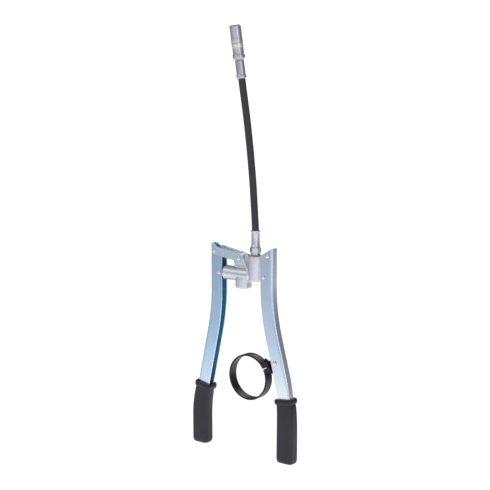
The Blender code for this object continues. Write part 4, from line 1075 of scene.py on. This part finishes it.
def make_coupler(axis, mats):
    """The coupler's sleeve, body, cap and jaws, on its own axis."""
    pieces = []
    inside = HOSE_RADIUS + GAP / 2
    step = HOSE_IN_FERRULE + GAP
    low, stub_top, ring = span("upper_ferrule", axis)
    ferrule_top = UPPER_FERRULE_LENGTH
    ferrule = [(STUB_RADIUS, stub_top), (STUB_RADIUS, ferrule_top), (UPPER_FERRULE_RADIUS, ferrule_top),
               (UPPER_FERRULE_RADIUS, END_RING_HEIGHT + 0.9 * MM), (ring - 0.2 * MM, END_RING_HEIGHT),
               (ring, END_RING_HEIGHT - 0.6 * MM), (ring, 0.9 * MM), (ring - 0.9 * MM, 0),
               (inside, 0), (inside, step), (BORE_RADIUS, step), (BORE_RADIUS, stub_top)]
    mesh = turned("upper_ferrule_crimped", ferrule, axis, sides=128, rounding=0.3 * MM,
                  shape=crimp(END_RING_HEIGHT + 2.4 * MM, ferrule_top - 2.2 * MM, UPPER_FERRULE_RADIUS))
    pieces.append(stand_for("upper_ferrule_crimped", mesh, mats["coupler"], "upper_ferrule"))

    base, spigot_top, shoulder = span("coupler_body", axis)
    shoulder_top = base + SHOULDER_HEIGHT
    ring_base = shoulder_top + BODY_HEIGHT
    ring_top = ring_base + RING_HEIGHT
    chamber = stub_top + 3 * MM
    body = [(SPIGOT_RADIUS, spigot_top), (SPIGOT_RADIUS, ring_top), (RING_RADIUS, ring_top),
            (RING_RADIUS, ring_base), (BODY_RADIUS, ring_base - 0.6 * MM), (BODY_RADIUS, shoulder_top),
            (shoulder, shoulder_top - 1 * MM), (shoulder, base + 3 * MM), (UPPER_FERRULE_RADIUS, base),
            (STUB_RADIUS + GAP, base), (STUB_RADIUS + GAP, stub_top + GAP), (BORE_RADIUS, stub_top + GAP),
            (BORE_RADIUS, chamber), (SPRING_ROOM, chamber), (SPRING_ROOM, spigot_top)]
    mesh = turned("coupler_body_turned", body, axis, sides=128, rounding=0.3 * MM)
    inverse = axis.inverted()
    for face in mesh.polygons:
        if ring_base < (inverse @ face.center).z < ring_top:
            face.material_index = 1
    pieces.append(stand_for("coupler_body_turned", mesh, (mats["coupler"], mats["ring"]), "coupler_body"))

    cap_base, cap_top, reach = span("coupler_cap", axis)
    thread = SPIGOT_RADIUS + GAP
    outside = [(CAP_MOUTH_RIM, cap_top), (reach, cap_top - 1.5 * MM)]
    first_band = cap_top - 4.0 * MM
    for i in range(CAP_BANDS):
        at = first_band - i * CAP_BAND_PITCH
        groove = reach - CAP_BAND_DEPTH
        outside += [(reach, at), (groove, at - 0.35 * MM), (groove, at - 0.75 * MM), (reach, at - 1.1 * MM)]
    inner = [(thread, cap_base), (thread, cap_top - 4 * MM), (MOUTH_RADIUS, cap_top)]
    cap = outside + [(reach, cap_base)] + inner
    mesh = turned("coupler_cap_turned", cap, axis, sides=128, rounding=0.22 * MM)
    pieces.append(stand_for("coupler_cap_turned", mesh, mats["coupler"], "coupler_cap"))
    pieces.append(make_jaws(axis, cap_top, mats["steel"]))
    return pieces


def make_jaws(axis, cap_top, mat):
    """Four jaws on one ring, closed towards the mouth."""
    low, high, reach = span("coupler_jaws", axis)
    tip = MOUTH_RADIUS - GAP - 0.05 * MM
    split = low + 3 * MM
    back = reach - 0.1 * MM
    root = split - 0.5 * MM
    jaw = eased([(tip, high), (back, cap_top - 4.5 * MM), (back, root), (JAW_BORE, root),
                 (JAW_BORE, high - 1.7 * MM), (JAW_BORE + 0.8 * MM, high)], 0.25 * MM)
    ring = [(back, split), (back, low), (JAW_BORE, low), (JAW_BORE, split)]
    bm = bmesh.new()
    bm.from_mesh(turned("jaw_ring", ring, axis, sides=96))
    steps = 18
    for quarter in range(4):
        rings = []
        for i in range(steps + 1):
            angle = quarter * pi / 2 + JAW_SLIT_ANGLE + (pi / 2 - 2 * JAW_SLIT_ANGLE) * i / steps
            rings.append([axis @ Vector((r * cos(angle), r * sin(angle), h)) for r, h in jaw])
        loft(bm, rings)
    bmesh.ops.recalc_face_normals(bm, faces=bm.faces)
    return stand_for("coupler_jaws_closed", mesh_of(bm, "coupler_jaws_closed"), mat, "coupler_jaws")


# Barrel clamp


def make_clamp(tree, mat):
    hinge = next(joint for joint in frame["joints"] if joint["name"] == "clamp_swivel")
    centre = Vector(hinge["pos_m"])
    outwards = (middle("hanger_rivet") - centre).normalized()
    sideways = Vector((-outwards.z, 0, outwards.x))
    stand_for("clamp_strap", cad_copy("clamp_band", "clamp_strap"), mat, "clamp_band", edge=0.45 * MM)
    screw_axis = along(middle("clamp_nut"), sideways)
    low, high, head = span("clamp_screw", screw_axis)
    neck = low + CLAMP_HEAD_HEIGHT
    socket = low + 1.5 * MM
    profile = [(0, socket), (SOCKET_RADIUS, socket), (SOCKET_RADIUS, low), (head, low), (head, neck),
               (SCREW_CORE, neck), (SCREW_CORE, high), (0, high)]

    def socket_shape(angle, radius, height):
        in_socket = height <= socket and 0 < radius <= SOCKET_RADIUS
        return polygon_radius(angle, radius * 0.92, 6) if in_socket else radius

    bm = bmesh.new()
    bm.from_mesh(turned("screw_turned", profile, screw_axis, 96, closed=False, shape=socket_shape))
    threaded = high - neck - 2 * MM
    thread = grown("screw_thread", tree, screw_axis @ Matrix.Translation((0, 0, neck + 1 * MM)),
                   Radius=SCREW_CORE, End_radius=SCREW_CORE, Wire_radius=THREAD_WIRE, Height=threaded,
                   Turns=threaded / THREAD_PITCH, Steps_each_turn=24, Wire_sides=6, Material=mat)
    bm.from_mesh(thread)
    stand_for("clamp_screw_threaded", mesh_of(bm, "clamp_screw_threaded"), mat, "clamp_screw")

    low, high, corner = span("clamp_nut", screw_axis)
    apothem = corner * cos(pi / 6)
    face = apothem * 0.98
    nut = [(face, high), (corner, high - 0.45 * MM), (corner, low + 0.45 * MM), (face, low),
           (SCREW_CORE + GAP, low), (SCREW_CORE + GAP, high)]

    def six_sided(angle, radius, height):
        return min(radius, polygon_radius(angle, apothem, 6))

    nut_mesh = turned("clamp_nut_pressed", nut, screw_axis, 96, 0.12 * MM, shape=six_sided)
    stand_for("clamp_nut_pressed", nut_mesh, mat, "clamp_nut")
    for node in ("swivel_bolt", "clamp_hanger"):
        stand_for(node + "_pressed", cad_copy(node, node + "_pressed"), mat, node, edge=0.25 * MM)


make_camera()
make_studio()

fitting_axis = along(Vector((middle("hose_fitting").x, 0, 0)), UP)
hose_points, hose_end = hose_line()
coupler_axis = along(hose_points[-1] - hose_end * HOSE_IN_FERRULE, hose_end)
pump_axis = along(middle("plunger_bush"), Vector((1, 0, 0)))

# Each plating's fourth colour is its painted sheen near the grips; the link's equals its deep tone.
zinc_right = zinc_plate("zinc_plate", (0.58, 0.70, 0.86), (0.54, 0.66, 0.82), (0.80, 0.86, 0.90), 0.24)
zinc_left = zinc_plate("zinc_plate_blue", (0.48, 0.65, 0.86), (0.44, 0.61, 0.82), (0.66, 0.80, 0.91), 0.24)
zinc_link = zinc_plate("zinc_plate_link", (0.67, 0.80, 0.96), (0.63, 0.76, 0.93), (0.63, 0.76, 0.93), 0.24)
# The channel's inside: a darker, bluer copy of the plating, painted shade and reflection, with the plating's
# blue passivation tint.
zinc_painted_shade_inside = zinc_plate("zinc_plate_inside_painted_shade", (0.28, 0.66, 0.80), (0.23, 0.58, 0.71), (0.46, 0.68, 0.80), 0.4)
casting = cast_metal()
lower_steel = turned_steel("fitting_steel", (0.62, 0.65, 0.71), (0.54, 0.57, 0.64), 0.33, fitting_axis)
coupler_steel = turned_steel("coupler_steel", (0.48, 0.485, 0.52), (0.42, 0.425, 0.46), 0.36, coupler_axis)
ring_steel = speckled("ring_steel", (0.70, 0.69, 0.67), (0.64, 0.63, 0.61), 0.42, 900)
rivet_steel = speckled("rivet_steel", (0.80, 0.78, 0.74), (0.62, 0.61, 0.59), 0.30, 1200)
plain_steel = speckled("plain_steel", (0.52, 0.53, 0.55), (0.38, 0.39, 0.41), 0.30, 1500)
brass = speckled("brass", (0.66, 0.48, 0.20), (0.50, 0.35, 0.14), 0.32, 1200)
washer_metal = speckled("washer_metal", (0.50, 0.49, 0.46), (0.32, 0.31, 0.30), 0.50, 1400)
seal_rubber = speckled("seal_rubber", (0.030, 0.030, 0.032), (0.018, 0.018, 0.020), 0.6, 1200, 0.0)
hose_skin = hose_rubber()
vinyl = grip_plastic()
black = black_steel()

hose, hose_length = make_hose(hose_points, hose_skin)
coupler = make_coupler(coupler_axis, {"coupler": coupler_steel, "ring": ring_steel, "steel": plain_steel})
coils = coil_tree()
pins = pin_tree()
coupler.append(make_spring("coupler_spring", coils, coupler_axis, 5, plain_steel))
for node, mat in (("coupler_piston", plain_steel), ("coupler_seal", seal_rubber)):
    coupler.append(bored(node + "_turned", node, coupler_axis, BORE_RADIUS, mat))

make_handle("fixed_handle", *FIXED.values(), (zinc_right, zinc_painted_shade_inside))
make_handle("moving_handle", *MOVING.values(), (zinc_left, zinc_painted_shade_inside))
make_grip("fixed_grip", *FIXED.values(), *FIXED_GRIP, vinyl)
make_grip("moving_grip", *MOVING.values(), *MOVING_GRIP, vinyl)
make_head(casting)
stand_for("link_folded", cad_copy("link", "link_folded"), zinc_link, "link", edge=0.4 * MM)
stand_for("plunger_ground", cad_copy("plunger", "plunger_ground"), plain_steel, "plunger", edge=0.2 * MM)
for node in ("head_rivet_upper", "head_rivet_lower", "plunger_pin", "link_handle_pin", "link_head_pin"):
    make_pin(node, pins, PIN_HEAD_HEIGHT, rivet_steel)
make_pin("hanger_rivet", pins, HANGER_HEAD_HEIGHT, rivet_steel)
make_spring("valve_spring", coils, fitting_axis, 4, plain_steel)
bored("bush_turned", "plunger_bush", pump_axis, PLUNGER_RADIUS + GAP, brass)
bored("packing_pressed", "plunger_seal", pump_axis, PLUNGER_RADIUS + GAP, seal_rubber)
make_lower_fitting(fitting_axis, {"washer": washer_metal, "lower": lower_steel})
make_clamp(coils, black)
ball = nodes["valve_ball"]
ball.data.materials.clear()
ball.data.materials.append(plain_steel)
